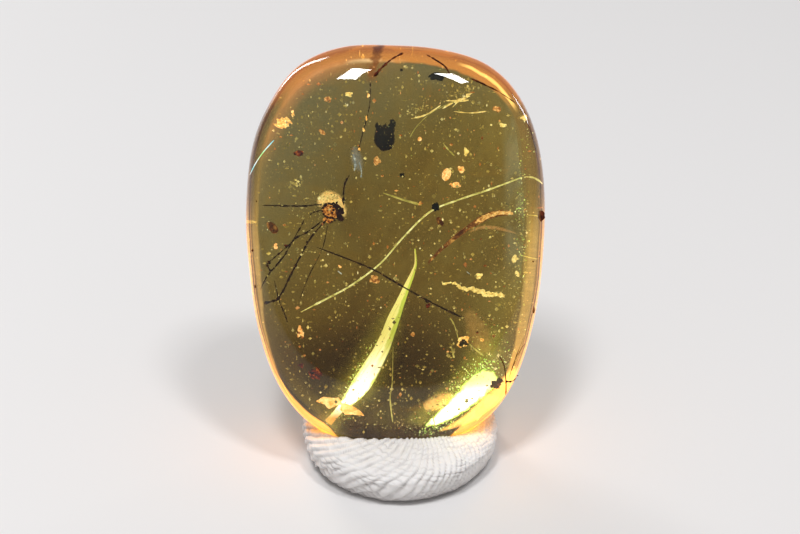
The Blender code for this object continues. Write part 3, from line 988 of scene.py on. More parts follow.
@dataclass(frozen=True)
class ScratchFinish:
    """A scratch on the polish that breaks the light into colours along its length."""

    slot: Slot = Slot.AMBER
    foot: float = 16.7
    length: float = 2.2
    along: Stops = (
        (0.0, (0.9, 0.75, 0.7)), (0.2, (0.25, 0.7, 0.75)), (0.4, (0.9, 0.95, 0.9)), (0.6, (0.3, 0.75, 0.2)),
        (0.8, (0.6, 0.8, 0.8)), (1.0, (0.1, 0.55, 0.6)),
    )

    def material(self) -> Material:
        """Makes the material.

        Returns:
            The material.
        """
        bench = Bench("scratch")
        *_, z = bench.face()
        colour = bench.ramp((z - self.foot) / self.length, self.along)
        # painted reflection: the scratch gives off its colours as emission
        shader = {"Base Color": colour, "Roughness": 0.3, "Emission Color": colour, "Emission Strength": 0.8}
        return bench.close(shader)


@dataclass(frozen=True)
class FractureFinish:
    """A bright internal fracture, lit by painted light given off as emission: white at its core, lime and
    then olive at its edge.
    """

    slot: Slot = Slot.RESIN
    outward: Stops = (
        (0.0, (0.05, 0.09, 0.01)), (0.13, (0.13, 0.32, 0.02)), (0.24, (0.5, 0.78, 0.12)),
        (0.38, (1.0, 0.94, 0.5)), (0.7, (1.0, 0.98, 0.85)),
    )
    upper: Colour = (0.8, 0.66, 0.32)
    pit: Colour = (0.06, 0.14, 0.01)
    heat: Colour = (1.6, 1.65, 1.9)
    glow: float = 1.3

    def material(self) -> Material:
        """Makes the material.

        Returns:
            The material.
        """
        bench = Bench("fracture")
        place, _, _, z = bench.face()
        core = bench.painted("core")
        ragged = bench.grain(place, 3.0, 5.0, 0.7)
        pits = bench.grain(place, 5.0, 2.0, 0.5)
        heat = core + 1.1 * (ragged - 0.5)
        colour = bench.ramp(heat, self.outward)
        colour = bench.mix((z - 0.4 * ragged).step(3.3, 4.3) * core.step(0.1, 0.5), colour, self.upper)
        colour = bench.mix(pits.step(0.6, 0.68) * core.fall(0.35, 0.75), colour, self.pit)
        white = heat.step(0.35, 0.7) * (1 - 0.75 * z.step(3.2, 4.2))
        shader = {
            "Base Color": colour,
            "Roughness": 0.4,
            "Alpha": heat.step(0.02, 0.32),
            **bench.painted_glow(colour, self.glow, bench.mix(white, CLEARING, self.heat)),
        }
        return bench.close(shader)


@dataclass(frozen=True)
class VeilFinish:
    """A thin see-through veil inside the resin, thickest at its middle, with a painted glow of its colour
    given off as emission.
    """

    name: str
    slot: Slot
    colour: Colour
    most: float = 0.6
    glow: float = 0.8
    scale: float = 2.5

    def material(self) -> Material:
        """Makes the material.

        Returns:
            The material.
        """
        bench = Bench(self.name)
        place, *_ = bench.face()
        cloud = bench.grain(place, self.scale, 4.0, 0.65)
        paler = tuple(min(1.0, share * 1.35 + 0.03) for share in self.colour)
        colour = bench.mix(cloud.step(0.4, 0.65), self.colour, paler)
        shader = {
            "Base Color": colour,
            "Roughness": 0.7,
            "Alpha": (bench.painted("core") * (0.55 + cloud)).step(0.0, 1.0) * self.most,
            **bench.painted_glow(colour, self.glow),
        }
        return bench.close(shader)


# ---- mesh work ----


def sweep(bm: BMesh, route: Sequence[Vector], radii: Sequence[float], sides: int = 8) -> None:
    """Draws a closed round tube along a route by extruding its end face.

    Args:
        bm: the mesh that it is added to.
        route: the places that it follows.
        radii: its radius at each.
        sides: how many sides it has.
    """
    places = [Vector(place) for place in route]
    aims = [(b - a).normalized() for a, b in zip(places, places[1:])]
    aims = [aims[0]] + [(a + b).normalized() for a, b in zip(aims, aims[1:])] + [aims[-1]]
    start = Matrix.Translation(places[0]) @ aims[0].to_track_quat("Z", "Y").to_matrix().to_4x4()
    ring = bmesh.ops.create_circle(bm, cap_ends=True, segments=sides, radius=radii[0], matrix=start)["verts"]
    face = next(face for face in ring[0].link_faces if len(face.verts) == sides)
    for index in range(1, len(places)):
        last = index - 1
        turn = aims[last].rotation_difference(aims[index]).to_matrix().to_4x4()
        grow = Matrix.Scale(radii[index] / radii[last], 4)
        step = Matrix.Translation(places[index]) @ turn @ grow @ Matrix.Translation(-places[last])
        if index == 1:
            grown = bmesh.ops.extrude_face_region(bm, geom=[face])["geom"]
            face = next(item for item in grown if isinstance(item, BMFace))
        else:
            face = bmesh.ops.extrude_discrete_faces(bm, faces=[face])["faces"][0]
        bmesh.ops.transform(bm, matrix=step, verts=face.verts[:])


def thicken(bm: BMesh, thickness: float) -> None:
    """Gives a sheet a wall that reaches so far back.

    Args:
        bm: the sheet.
        thickness: how far.
    """
    wall = bmesh.ops.extrude_face_region(bm, geom=bm.faces[:])
    moved = [item for item in wall["geom"] if isinstance(item, BMVert)]
    bmesh.ops.translate(bm, verts=moved, vec=(0, thickness, 0))


def flake(bm: BMesh, outline: Sequence[Place], lift: float, thickness: float) -> None:
    """Adds a thin flake with a ragged edge and a bent skin.

    Args:
        bm: the mesh that it is added to.
        outline: its corners on the face, in order.
        lift: how far behind the flow surface it lies.
        thickness: its thickness.
    """
    face = bm.faces.new([bm.verts.new(STONE.under(x, z, lift)) for x, z in outline])
    bmesh.ops.triangulate(bm, faces=[face])
    bmesh.ops.subdivide_edges(bm, edges=bm.edges[:], cuts=4, use_grid_fill=True)
    thicken(bm, thickness)
    noise.seed_set(1)  # unseeded, the vector noise goes by the clock
    for vert in bm.verts:
        vert.co += 0.06 * noise.noise_vector(vert.co * 2.5) + 0.05 * noise.noise_vector(vert.co * 6.0)
    bmesh.ops.recalc_face_normals(bm, faces=bm.faces[:])


def unit_ball(bm: BMesh, around: int, across: int) -> None:
    """Adds a fine ball: a coarse one with every face cut in four, then rounded again.

    Args:
        bm: the mesh that it is added to.
        around: its faces round the equator.
        across: its faces from pole to pole.
    """
    bmesh.ops.create_uvsphere(bm, u_segments=around // 2, v_segments=across // 2, radius=1)
    bmesh.ops.subdivide_edges(bm, edges=bm.edges[:], cuts=1, use_grid_fill=True)
    for vert in bm.verts:
        vert.co.normalize()


def ragged_ball(
    bm: BMesh,
    size: Sequence[float],
    centre: Vector,
    turn: float = 0.0,
    grit: float = 0.2,
    grain: float = 2.2,
    seed: int = 0,
    subdivisions: int = 3,
) -> None:
    """Adds a lump with a broken skin.

    Args:
        bm: the mesh that it is added to.
        size: its width, thickness and height.
        centre: its middle.
        turn: its turn in the plane of the face, in degrees.
        grit: how far the skin stands in and out, as a share of the radius.
        grain: how many humps across.
        seed: picks the humps.
        subdivisions: how fine it is.
    """
    verts = bmesh.ops.create_icosphere(bm, subdivisions=subdivisions, radius=0.5)["verts"]
    offset = Vector((seed * 7.31, seed * 3.17, seed * 5.43))
    for vert in verts:
        hump = noise.fractal(vert.co * 2 * grain + offset, 0.8, 2.1, 4)
        vert.co *= 1 + grit * hump
    scale = Matrix.Diagonal((*size, 1))
    turned = Matrix.Rotation(math.radians(-turn), 4, "Y")
    bmesh.ops.transform(bm, matrix=Matrix.Translation(centre) @ turned @ scale, verts=verts)


def beside(centre: Place, along: np.ndarray, across: np.ndarray, turn: float) -> Sequence[np.ndarray]:
    """Where places lie that are so far along and across from a centre, on turned axes.

    Args:
        centre: x and z.
        along: how far along the first axis.
        across: how far along the second.
        turn: the turn of the axes, in degrees.

    Returns:
        The x and z of each.
    """
    x, z = centre
    turn = math.radians(turn)
    x = x + along * math.cos(turn) - across * math.sin(turn)
    return x, z + along * math.sin(turn) + across * math.cos(turn)


def swarm_mesh(count: int) -> BMesh:
    """A mesh of so many eight-sided grains, made by doubling one.

    Args:
        count: how many grains.

    Returns:
        The mesh, with each grain's vertices next to each other.
    """
    grain = bmesh.new()
    bmesh.ops.create_uvsphere(grain, u_segments=4, v_segments=2, radius=1.0)
    mesh = bpy.data.meshes.new("grain")
    grain.to_mesh(mesh)
    grain.free()
    bm = bmesh.new()  # a fresh one numbers its vertices in order, which one that has merged doubles doesn't
    bm.from_mesh(mesh)
    bpy.data.meshes.remove(mesh)
    each = len(bm.verts)
    while len(bm.verts) < count * each:
        bmesh.ops.duplicate(bm, geom=bm.verts[:] + bm.edges[:] + bm.faces[:])
    bm.verts.ensure_lookup_table()
    bmesh.ops.delete(bm, geom=bm.verts[count * each :], context="VERTS")
    return bm


def settle(
    name: str,
    bm: BMesh,
    finish: Finish,
    stands_for: Sequence[str] = (),
    place: Matrix | None = None,
    smooth: float = 60.0,
) -> Object:
    """Makes a piece of a mesh and puts it in the frame.

    Args:
        name: the piece's name.
        bm: its mesh, on the stone's face, in millimetres.
        finish: what it is dressed in.
        stands_for: the CAD nodes that it replaces.
        place: the matrix to the row frame, if it isn't the stone's.
        smooth: the angle in degrees below which its edges look smooth.

    Returns:
        The object.
    """
    bmesh.ops.transform(bm, matrix=place or STONE.placed(), verts=bm.verts)
    mesh = bpy.data.meshes.new(name)
    bm.to_mesh(mesh)
    bm.free()
    mesh.materials.append(finish.material())
    mesh.shade_smooth()
    if smooth < 180:
        mesh.set_sharp_from_angle(angle=math.radians(smooth))
    piece = bpy.data.objects.new(name, mesh)
    bpy.context.scene.collection.objects.link(piece)
    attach(piece, "root")
    if stands_for:
        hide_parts(*stands_for)
    log.info("%s: %d faces", name, len(mesh.polygons))
    return piece


def paint(piece: Object, name: str, values: Sequence[float]) -> None:
    """Gives a piece a value at each vertex, for its material to read."""
    layer = piece.data.attributes.new(name, "FLOAT", "POINT")
    layer.data.foreach_set("value", np.asarray(values, np.float32))


# ---- sub-assemblies ----


@dataclass
class Stone:
    """The polished amber."""

    around: int = 200
    across: int = 120

    def build(self) -> Object:
        """Makes the one clear piece that stands for both halves.

        Returns:
            The piece.
        """
        bm = bmesh.new()
        unit_ball(bm, self.around, self.across)
        ball = np.array([vert.co[:] for vert in bm.verts])
        angle = np.arctan2(ball[:, 1], ball[:, 0])
        share = np.minimum(np.hypot(ball[:, 0], ball[:, 1]), 1.0) ** (2 / STONE.fullness)
        x, z = STONE.spread(angle, share)
        z = np.where(share < 1e-4, STONE.middle, z)
        depth = np.minimum(np.abs(ball[:, 2]), 1.0) ** (2 / STONE.fullness) * STONE.half_thickness
        for vert, place in zip(bm.verts, np.stack([x, -np.sign(ball[:, 2]) * depth, z], 1)):
            vert.co = place
        bmesh.ops.recalc_face_normals(bm, faces=bm.faces[:])
        piece = settle("amber_stone", bm, AmberFinish(), ("amber_front", "amber_back"), smooth=180.0)
        paint(piece, "rim", share)
        return piece


@dataclass
class TackFoot:
    """The pressed foot of tack, with the print of a ridged surface all over it."""

    half_width: float = 6.05
    half_depth: float = 6.7
    waist: float = 1.5
    rise: float = 1.3
    sink: float = 2.6
    fullness: float = 2.6
    # the print: its ridges' pitch, lean and height, where they turn finer, and the shares of crest and crack
    pitch: float = 0.6
    lean: float = 42.0
    ridge: float = 0.1
    finer_from: float = 1.5
    finer: float = 0.75
    crest: float = 0.28
    crack: float = 0.16
    around: int = 360
    rings: int = 150
    gap: float = 0.015

    def build(self, stone: Object) -> Object:
        """Makes the foot and presses the stone into it.

        Args:
            stone: the clear piece.

        Returns:
            The foot.
        """
        bm = bmesh.new()
        unit_ball(bm, self.around, self.rings)
        for vert in bm.verts:
            out = min(1.0, math.hypot(vert.co.x, vert.co.y)) ** (2 / self.fullness)
            up = min(1.0, abs(vert.co.z)) ** (2 / self.fullness)
            angle = math.atan2(vert.co.y, vert.co.x)
            height = self.waist + (self.rise * up if vert.co.z > 0 else -self.sink * up)
            x, y = self.half_width * out * math.cos(angle), self.half_depth * out * math.sin(angle)
            vert.co = Vector((x, y, height))
        everything = bm.verts[:] + bm.edges[:] + bm.faces[:]
        floor = {"plane_co": (0, 0, 0), "plane_no": (0, 0, -1)}
        cut = bmesh.ops.bisect_plane(bm, geom=everything, clear_outer=True, **floor)
        rim = [item for item in cut["geom_cut"] if isinstance(item, BMEdge)]
        bmesh.ops.edgeloop_fill(bm, edges=rim)
        bmesh.ops.recalc_face_normals(bm, faces=bm.faces[:])
        bm.normal_update()
        self._print(bm)
        self._press(bm, stone)
        return settle("tack", bm, TackFinish(), ("tack_foot",), Matrix.Scale(MM, 4), smooth=80.0)

    def _phase(self, co: Vector) -> tuple[float, float, float]:
        """Where a place lies on the print.

        Args:
            co: the place, in millimetres.

        Returns:
            The count of ridges across, which are finer and steeper to the right, the count of cracks across
            them, and how strongly the ridges show, which fades out at the back.
        """
        angle = math.atan2(co.x, -co.y)
        warp = noise.fractal(co * 0.45, 1.0, 2.0, 3)
        round_it = angle * self.half_width
        inward = 0.7 * (self.half_width - math.hypot(co.x, co.y))
        up = co.z - self.waist + (inward if co.z > self.waist else -inward)
        past = min(20.0, abs(round_it - self.finer_from)) / self.finer_from
        grown = round_it + self.finer * (round_it + self.finer_from * math.log(2 * math.cosh(past)))
        lean = math.radians(self.lean)
        ridges = (-math.sin(lean) * grown + math.cos(lean) * up) / self.pitch + 0.45 * warp
        cracks = (0.22 * round_it + up) / (self.pitch * 0.75) + 1.3 * warp
        return ridges, cracks, min(1.0, (math.pi - abs(angle)) / 0.3)

    def _print(self, bm: BMesh) -> None:
        """Raises the print over the skin but not the flat underside, and keeps how deep its creases are.

        Args:
            bm: the foot, in millimetres.
        """
        crease = bm.verts.layers.float.new("crease")
        for vert in bm.verts:
            if vert.co.z < 1e-4:
                continue
            ridges, cracks, shown = self._phase(vert.co)
            across = ridges % 1.0
            if across < self.crest:
                cord = -1 + 2 * (across / self.crest) ** 0.8
            else:
                cord = 1 - 2 * ((across - self.crest) / (1 - self.crest)) ** 1.4
            split = 1 - min(1.0, abs((cracks + 0.5) % 1.0 - 0.5) / self.crack)
            fold = 1 - min(1.0, abs((ridges + 0.45) % 1.0 - 0.5) / self.crack)
            patch = noise.noise(vert.co * 0.8)
            deep = max(fold * (0.5 + 0.8 * noise.noise(vert.co * 1.3)), split * max(0.0, 0.4 + patch))
            vert[crease] = min(1.0, shown * deep)
            fine = noise.fractal(vert.co * 3.2, 0.7, 2.0, 3)
            height = shown * (0.85 * cord - 0.9 * split * max(0.0, 0.5 + patch)) + 0.45 * fine
            lump = 0.09 * noise.fractal(vert.co * 0.45, 1.0, 2.0, 2)
            vert.co += vert.normal * (self.ridge * height + lump - 0.06)
            vert.co.z = max(vert.co.z, 0.0)

    def _press(self, bm: BMesh, stone: Object) -> None:
        """Pushes what would be inside the stone down on to its underside.

        Args:
            bm: the foot, in millimetres.
            stone: the clear piece.
        """
        mesh = stone.data
        tree = BVHTree.FromPolygons(
            [vert.co / MM for vert in mesh.vertices], [tuple(face.vertices) for face in mesh.polygons]
        )
        for vert in bm.verts:
            low = tree.ray_cast(Vector((vert.co.x, vert.co.y, -1.0)), Vector((0, 0, 1)))[0]
            if low is not None and vert.co.z > low.z - self.gap:
                vert.co.z = low.z - self.gap


@dataclass(frozen=True)
class Thread:
    """A leg, hair or strand: its route on the face, its radius at each end, and its depth."""

    name: str
    route: tuple[Place, ...]
    radii: Place
    lift: float
    wobble: float = 0.15
    steps: int = 6
    sides: int = 8

    def draw(self, bm: BMesh, surface: bool = False) -> None:
        """Adds it to a mesh, with small swellings along it.

        Args:
            bm: the mesh.
            surface: whether it lies on the front dome.
        """
        route = smooth_route(self.route, self.steps)
        seed = sum(map(ord, self.name)) * 0.37
        radii = []
        for index, radius in enumerate(np.linspace(self.radii[0], self.radii[1], len(route))):
            swell = noise.noise(Vector((index * 0.9, seed, 0.0)))
            taper = min(1.0, 0.35 + 0.35 * min(index, len(route) - 1 - index))
            radii.append(radius * taper * (1 + self.wobble * 2 * swell))
        lay = STONE.on_face if surface else STONE.under
        sweep(bm, [lay(x, z, self.lift) for x, z in route], radii, self.sides)


@dataclass
class LongLeggedInsect:
    """The insect: a ringed abdomen in a dark ragged margin, with six long legs."""

    centre: Station = (-3.95, 14.65, 0.0)
    radius: float = 0.4
    rings: float = 13.0
    ring_depth: float = 0.07
    pitting: float = 0.05
    legs: tuple[Thread, ...] = (
        Thread(
            "leg_left", ((-4.4, 15.0), (-4.76, 15.0), (-5.5, 14.93), (-6.5, 14.95), (-7.95, 15.0)),
            (0.046, 0.05), 0.0, 0.5,
        ),
        Thread(
            "leg_short", ((-4.4, 14.65), (-4.85, 14.55), (-5.05, 14.45), (-5.15, 14.2)),
            (0.035, 0.022), 0.15, 0.9,
        ),
        Thread(
            "leg_long",
            ((-4.1, 14.1), (-4.5, 13.67), (-4.92, 13.2), (-5.25, 12.7), (-5.57, 12.1), (-6.02, 11.25),
             (-6.42, 10.45), (-6.74, 9.75), (-7.01, 9.3), (-7.1, 9.12), (-7.5, 8.97), (-8.0, 8.78)),
            (0.044, 0.07), -0.24, 0.5,
        ),
        Thread(
            "leg_spur", ((-7.32, 10.3), (-7.08, 9.13), (-6.92, 8.68), (-6.74, 8.24), (-6.56, 7.7)),
            (0.026, 0.04), -0.2, 0.8,
        ),
        Thread(
            "leg_folded",
            ((-4.4, 14.0), (-5.26, 13.34), (-5.88, 13.03), (-6.2, 12.72), (-6.92, 12.05), (-7.41, 11.61),
             (-7.71, 11.3), (-7.53, 10.85), (-7.77, 10.45), (-8.13, 9.66)),
            (0.042, 0.046), 0.02, 0.7,
        ),
        Thread(
            "leg_twin",
            ((-5.45, 14.1), (-5.75, 13.5), (-6.33, 12.46), (-6.65, 11.88), (-7.23, 11.12), (-7.53, 10.8)),
            (0.03, 0.05), 0.2, 0.8,
        ),
        Thread(
            "leg_hind", ((-4.0, 14.0), (-4.36, 12.32), (-5.21, 10.55), (-5.75, 9.13)),
            (0.022, 0.022), 0.26, 0.6,
        ),
    )
    # x, z and width of the joints that show
    knees: tuple[Station, ...] = (
        (-5.3, 12.7, 0.09), (-5.88, 13.03, 0.09), (-7.6, 11.42, 0.12), (-7.1, 9.15, 0.1), (-7.8, 8.85, 0.11),
    )
    margin: tuple[Row, ...] = (
        # x, z, radius, how far in front
        (-4.16, 15.02, 0.09, 0.28), (-4.25, 14.94, 0.08, 0.28), (-4.33, 14.8, 0.065, 0.25),
        (-4.36, 14.62, 0.06, 0.25), (-4.3, 14.44, 0.07, 0.25), (-4.2, 14.32, 0.06, 0.28),
        (-3.7, 14.68, 0.07, 0.38), (-3.78, 14.52, 0.06, 0.4), (-4.02, 14.42, 0.05, 0.4),
        (-3.9, 14.86, 0.045, 0.4), (-3.96, 15.02, 0.1, 0.1), (-3.85, 14.98, 0.11, 0.12),
        (-3.71, 15.06, 0.09, 0.1), (-3.66, 14.86, 0.12, 0.15), (-3.52, 14.92, 0.15, 0.1),
        (-3.5, 15.13, 0.06, 0.0), (-3.4, 14.78, 0.16, 0.1), (-3.24, 14.65, 0.15, 0.0),
        (-3.17, 14.52, 0.11, 0.0), (-3.4, 14.5, 0.19, 0.1), (-3.29, 14.18, 0.19, 0.05),
        (-3.2, 14.1, 0.12, 0.0), (-3.42, 14.28, 0.14, 0.08), (-4.08, 14.22, 0.08, 0.12),
        (-3.9, 14.18, 0.09, 0.1), (-3.72, 14.2, 0.1, 0.1), (-3.78, 13.96, 0.06, 0.05),
        (-3.9, 13.92, 0.06, 0.05), (-3.62, 14.04, 0.06, 0.05),
    )
    lobes: tuple[Row, ...] = (
        (-4.18, 14.08, 0.13, 0.05), (-4.0, 14.02, 0.14, 0.08), (-3.82, 14.09, 0.1, 0.05),
        (-3.62, 14.34, 0.14, 0.12), (-3.72, 14.46, 0.1, 0.14),
    )

    def build(self) -> None:
        """Makes the legs, the margin, the abdomen and the lobes."""
        legs = bmesh.new()
        for leg in self.legs:
            leg.draw(legs)
        for x, z, width in self.knees:
            ragged_ball(legs, (width * 1.6, width, width * 2), STONE.under(x, z), 30, 0.3, subdivisions=2)
        settle("long_legs", legs, DARK_CHITIN, ("long_legged_insect",))
        self._lumps("insect_margin", self.margin, MAROON, 0.35)
        self._lumps("insect_lobes", self.lobes, HONEY_CHITIN, 0.25)
        self._abdomen()

    def _lumps(self, name: str, lumps: Sequence, finish: Mottle, grit: float) -> None:
        """Joins small lumps in one piece.

        Args:
            name: its name.
            lumps: x, z, radius and how far in front of each.
            finish: its finish.
            grit: how rough they are.
        """
        bm = bmesh.new()
        for seed, (x, z, radius, ahead) in enumerate(lumps):
            size = (radius * 2.1, radius * 2.4, radius * 2.2)
            ragged_ball(bm, size, STONE.under(x, z, -ahead), 20 * seed, grit, 1.6, seed, 3)
        settle(name, bm, finish)

    def _abdomen(self) -> None:
        """Makes the ball of the abdomen, with rings pressed round its pole, which faces the front."""
        bm = bmesh.new()
        bmesh.ops.create_uvsphere(bm, u_segments=40, v_segments=32, radius=self.radius)
        for vert in bm.verts:
            polar = math.acos(max(-1.0, min(1.0, vert.co.z / self.radius)))
            pit = self.pitting * noise.noise(vert.co * 9)
            vert.co *= 1 + self.ring_depth * math.cos(polar * self.rings) + pit
        turn = Matrix.Rotation(math.radians(90), 4, "X")
        bmesh.ops.transform(bm, matrix=Matrix.Translation(STONE.under(*self.centre)) @ turn, verts=bm.verts)
        settle("insect_abdomen", bm, HONEY_CHITIN)


@dataclass
class Beetle:
    """The black beetle: an oval body with horn-like lobes at its upper end."""

    parts: tuple[Row, ...] = (
        # x, z, width, height, thickness, turn, grit
        (-0.64, 19.02, 1.24, 1.42, 0.8, 8, 0.1),
        (-0.98, 19.55, 0.42, 0.62, 0.5, -8, 0.2),
        (-1.13, 19.85, 0.16, 0.34, 0.3, -10, 0.3),
        (-0.66, 19.62, 0.34, 0.42, 0.4, 0, 0.25),
        (-0.6, 19.82, 0.14, 0.24, 0.2, 10, 0.3),
        (-0.24, 19.62, 0.4, 0.66, 0.46, 14, 0.12),
        (-0.14, 19.98, 0.34, 0.52, 0.4, 22, 0.12),
    )

    def build(self) -> None:
        """Makes the body and the lobes."""
        bm = bmesh.new()
        for seed, (x, z, width, height, thickness, turn, grit) in enumerate(self.parts):
            ragged_ball(bm, (width, thickness, height), STONE.under(x, z), turn, grit, 1.6, seed + 3, 4)
        settle("beetle_body", bm, BLACK_CHITIN, ("beetle",))


@dataclass
class LeafSliver:
    """The leaf sliver: two facets along a keel, with a fringe on its edges. The scales round its foot are the
    bracts among the crumbs.
    """

    # x and z of its middle, and its half width
    stations: tuple[Station, ...] = (
        (1.2, 12.3, 0.04), (1.24, 11.4, 0.07), (1.04, 10.75, 0.13), (0.73, 10.0, 0.2), (0.35, 9.05, 0.28),
        (-0.05, 8.05, 0.38), (-0.42, 7.05, 0.42), (-0.82, 6.05, 0.48), (-1.46, 4.9, 0.55), (-2.12, 3.8, 0.56),
        (-2.75, 2.95, 0.42), (-3.2, 2.45, 0.27), (-3.75, 1.75, 0.22), (-4.2, 1.2, 0.26),
    )
    # how far out and back, in half widths: sharp edges, a ridge a third of the way over, grooves between
    section: tuple[Place, ...] = (
        (1, 0), (0.62, -0.28), (0.2, -0.42), (-0.1, -0.34), (-0.5, -0.26), (-1, 0), (-0.5, 0.3), (0.5, 0.3),
    )
    lift: float = 0.2
    steps: int = 6

    def build(self) -> None:
        """Makes the blade."""
        bm = bmesh.new()
        route = smooth_route(self.stations, self.steps)
        rings, across = [], []
        for index, (x, z, half) in enumerate(route):
            ahead = route[min(index + 1, len(route) - 1)] - route[max(index - 1, 0)]
            along = Vector((ahead[0], ahead[1])).normalized()
            side = Vector((-along.y, along.x))
            half *= 1 + 0.05 * noise.noise(Vector((index * 0.9, 1.0, 0.0)))
            ring = []
            for out, back in self.section:
                place = STONE.under(x + side.x * half * out, z + side.y * half * out, self.lift)
                place.y += back * half
                ring.append(bm.verts.new(place))
                across.append((1 + out) / 2)
            edges = [bm.edges.new((ring[i], ring[(i + 1) % len(ring)])) for i in range(len(ring))]
            if index in (0, len(route) - 1):
                bm.faces.new(ring)
            if rings:
                bmesh.ops.bridge_loops(bm, edges=rings[-1] + edges)
            rings.append(edges)
        bmesh.ops.recalc_face_normals(bm, faces=bm.faces[:])
        piece = settle("leaf_blade", bm, LeafFinish(), ("leaf_sliver",), smooth=25.0)
        paint(piece, "across", across)


@dataclass
class SeedPlume:
    """The brown plume: a bundle of fine barbs along a bowed shaft, with a tan head."""

    shaft: tuple[Place, ...] = (
        (1.95, 11.4), (2.6, 12.1), (3.45, 12.85), (4.5, 13.65), (5.4, 14.2), (6.15, 14.5), (7.1, 14.55),
    )
    barbs: int = 150
    streaks: int = 34
    width: float = 0.27

    def build(self) -> None:
        """Makes the barbs and the head."""
        dice = random.Random(5)
        route = np.array(smooth_route(self.shaft, 8))
        bm = bmesh.new()
        for _ in range(self.barbs):
            first = dice.randrange(0, len(route) - 12)
            length = dice.randrange(8, 22)
            part = route[first : min(first + length, len(route) - 4)]
            share = first / len(route)
            wide = self.width * (0.25 + 0.9 * share)
            start, end = dice.uniform(-wide, wide), dice.uniform(-wide, wide)
            lift = dice.uniform(-0.2, 0.2) * (0.4 + share)
            places = []
            for index, (x, z) in enumerate(part):
                t = index / max(1, len(part) - 1)
                off = start + (end - start) * t
                places.append(STONE.under(x - 0.55 * off, z + 0.8 * off, lift))
            radius = dice.uniform(0.01, 0.028)
            swell = [math.sin(math.pi * (index + 0.5) / len(places)) for index in range(len(places))]
            sweep(bm, places, [radius * (0.4 + 1.2 * share) for share in swell], 5)
        settle("plume_barbs", bm, BARK, ("seed_plume",))
        head = bmesh.new()
        for _ in range(self.streaks):
            first = dice.randrange(len(route) * 5 // 9, len(route) - 6)
            part = route[first : min(first + dice.randrange(5, 12), len(route))]
            start, end = dice.uniform(-0.02, 0.26), dice.uniform(0.0, 0.22)
            places = []
            for index, (x, z) in enumerate(part):
                off = start + (end - start) * index / max(1, len(part) - 1) - 0.1
                places.append(STONE.under(x - 0.4 * off, z + 0.9 * off, dice.uniform(-0.22, -0.16)))
            radius = dice.uniform(0.02, 0.055)
            sweep(head, places, [radius * (0.5 + dice.uniform(0.2, 1.0)) for _ in places], 6)
        settle("plume_head", head, TAN_HEAD)


@dataclass
class PlantThreads:
    """The strand, the loose leg, the root thread and the twig bit."""

    strand: Thread = Thread(
        "plant_strand",
        ((-5.0, 8.75), (-3.9, 9.35), (-2.6, 10.1), (-0.9, 11.4), (0.5, 13.0), (2.1, 14.55), (3.7, 15.25),
         (5.4, 15.85), (6.8, 16.4), (7.7, 16.75), (8.3, 16.75), (8.8, 16.35)),
        (0.058, 0.046), 0.06, 0.2,
    )
    tail: Thread = Thread("strand_tail", ((-5.7, 8.36), (-5.4, 8.52), (-4.9, 8.8)), (0.012, 0.045), 0.06, 0.3)
    loose_leg: Thread = Thread(
        "loose_leg", ((-4.7, 12.4), (-2.6, 11.6), (-1.3, 11.05), (0.0, 10.3), (1.9, 9.2), (4.2, 8.0)),
        (0.04, 0.058), -0.22, 0.25,
    )
    knee: Station = (1.94, 9.12, -0.22)
    root: Thread = Thread(
        "root_thread", ((-3.1, 14.95), (-3.1, 15.8), (-3.0, 16.35), (-2.75, 16.8)), (0.05, 0.05), 0.0, 0.9,
    )
    root_upper: Thread = Thread(
        "root_upper", ((-2.25, 18.1), (-2.05, 19.0), (-1.7, 20.4), (-1.55, 21.3), (-1.55, 22.5)),
        (0.026, 0.034), 0.0, 1.0,
    )
    twig: Thread = Thread(
        "twig_bit", ((2.85, 10.2), (3.6, 10.2), (4.0, 9.9), (4.75, 9.8), (5.4, 9.55), (6.4, 9.45)),
        (0.03, 0.07), 0.0, 0.9,
    )

    def build(self) -> None:
        """Makes each thread a piece."""
        groups = (
            ((self.strand, self.tail), STRAND_SKIN),
            ((self.loose_leg,), DARK_CHITIN),
            ((self.root, self.root_upper), DARK_CHITIN),
        )
        for threads, finish in groups:
            bm = bmesh.new()
            for thread in threads:
                thread.draw(bm)
            if self.loose_leg in threads:
                ragged_ball(bm, (0.26, 0.2, 0.2), STONE.under(*self.knee), 0, 0.3, subdivisions=2)
            settle(f"{threads[0].name}_fine", bm, finish, (threads[0].name,))
        bm = bmesh.new()
        self.twig.draw(bm)
        dice = random.Random(8)
        route = smooth_route(self.twig.route, 6)
        for seed, (x, z) in enumerate(route):
            big = 0.06 + 0.2 * (seed / len(route)) ** 1.5 + dice.uniform(-0.03, 0.07)
            size = (big * 1.7, 0.14, big)
            spot = STONE.under(x, z + dice.uniform(-0.07, 0.07))
            ragged_ball(bm, size, spot, dice.uniform(-20, 50), 0.6, 2.4, seed, 2)
        settle("twig_bit_fine", bm, TWIG, ("twig_bit",))


@dataclass(frozen=True)
class Crumb:
    """A small lump that stands for the CAD node of its name: its finish, place, size, pieces and turn."""

    name: str
    finish: Mottle
    x: float
    z: float
    width: float
    height: float
    thickness: float
    bits: int
    turn: float = 0.0
    lift: float = 0.0
    has_node: bool = True


@dataclass(frozen=True)
class Grain(Crumb):
    """A small lump that no CAD node stands for."""

    has_node: bool = False


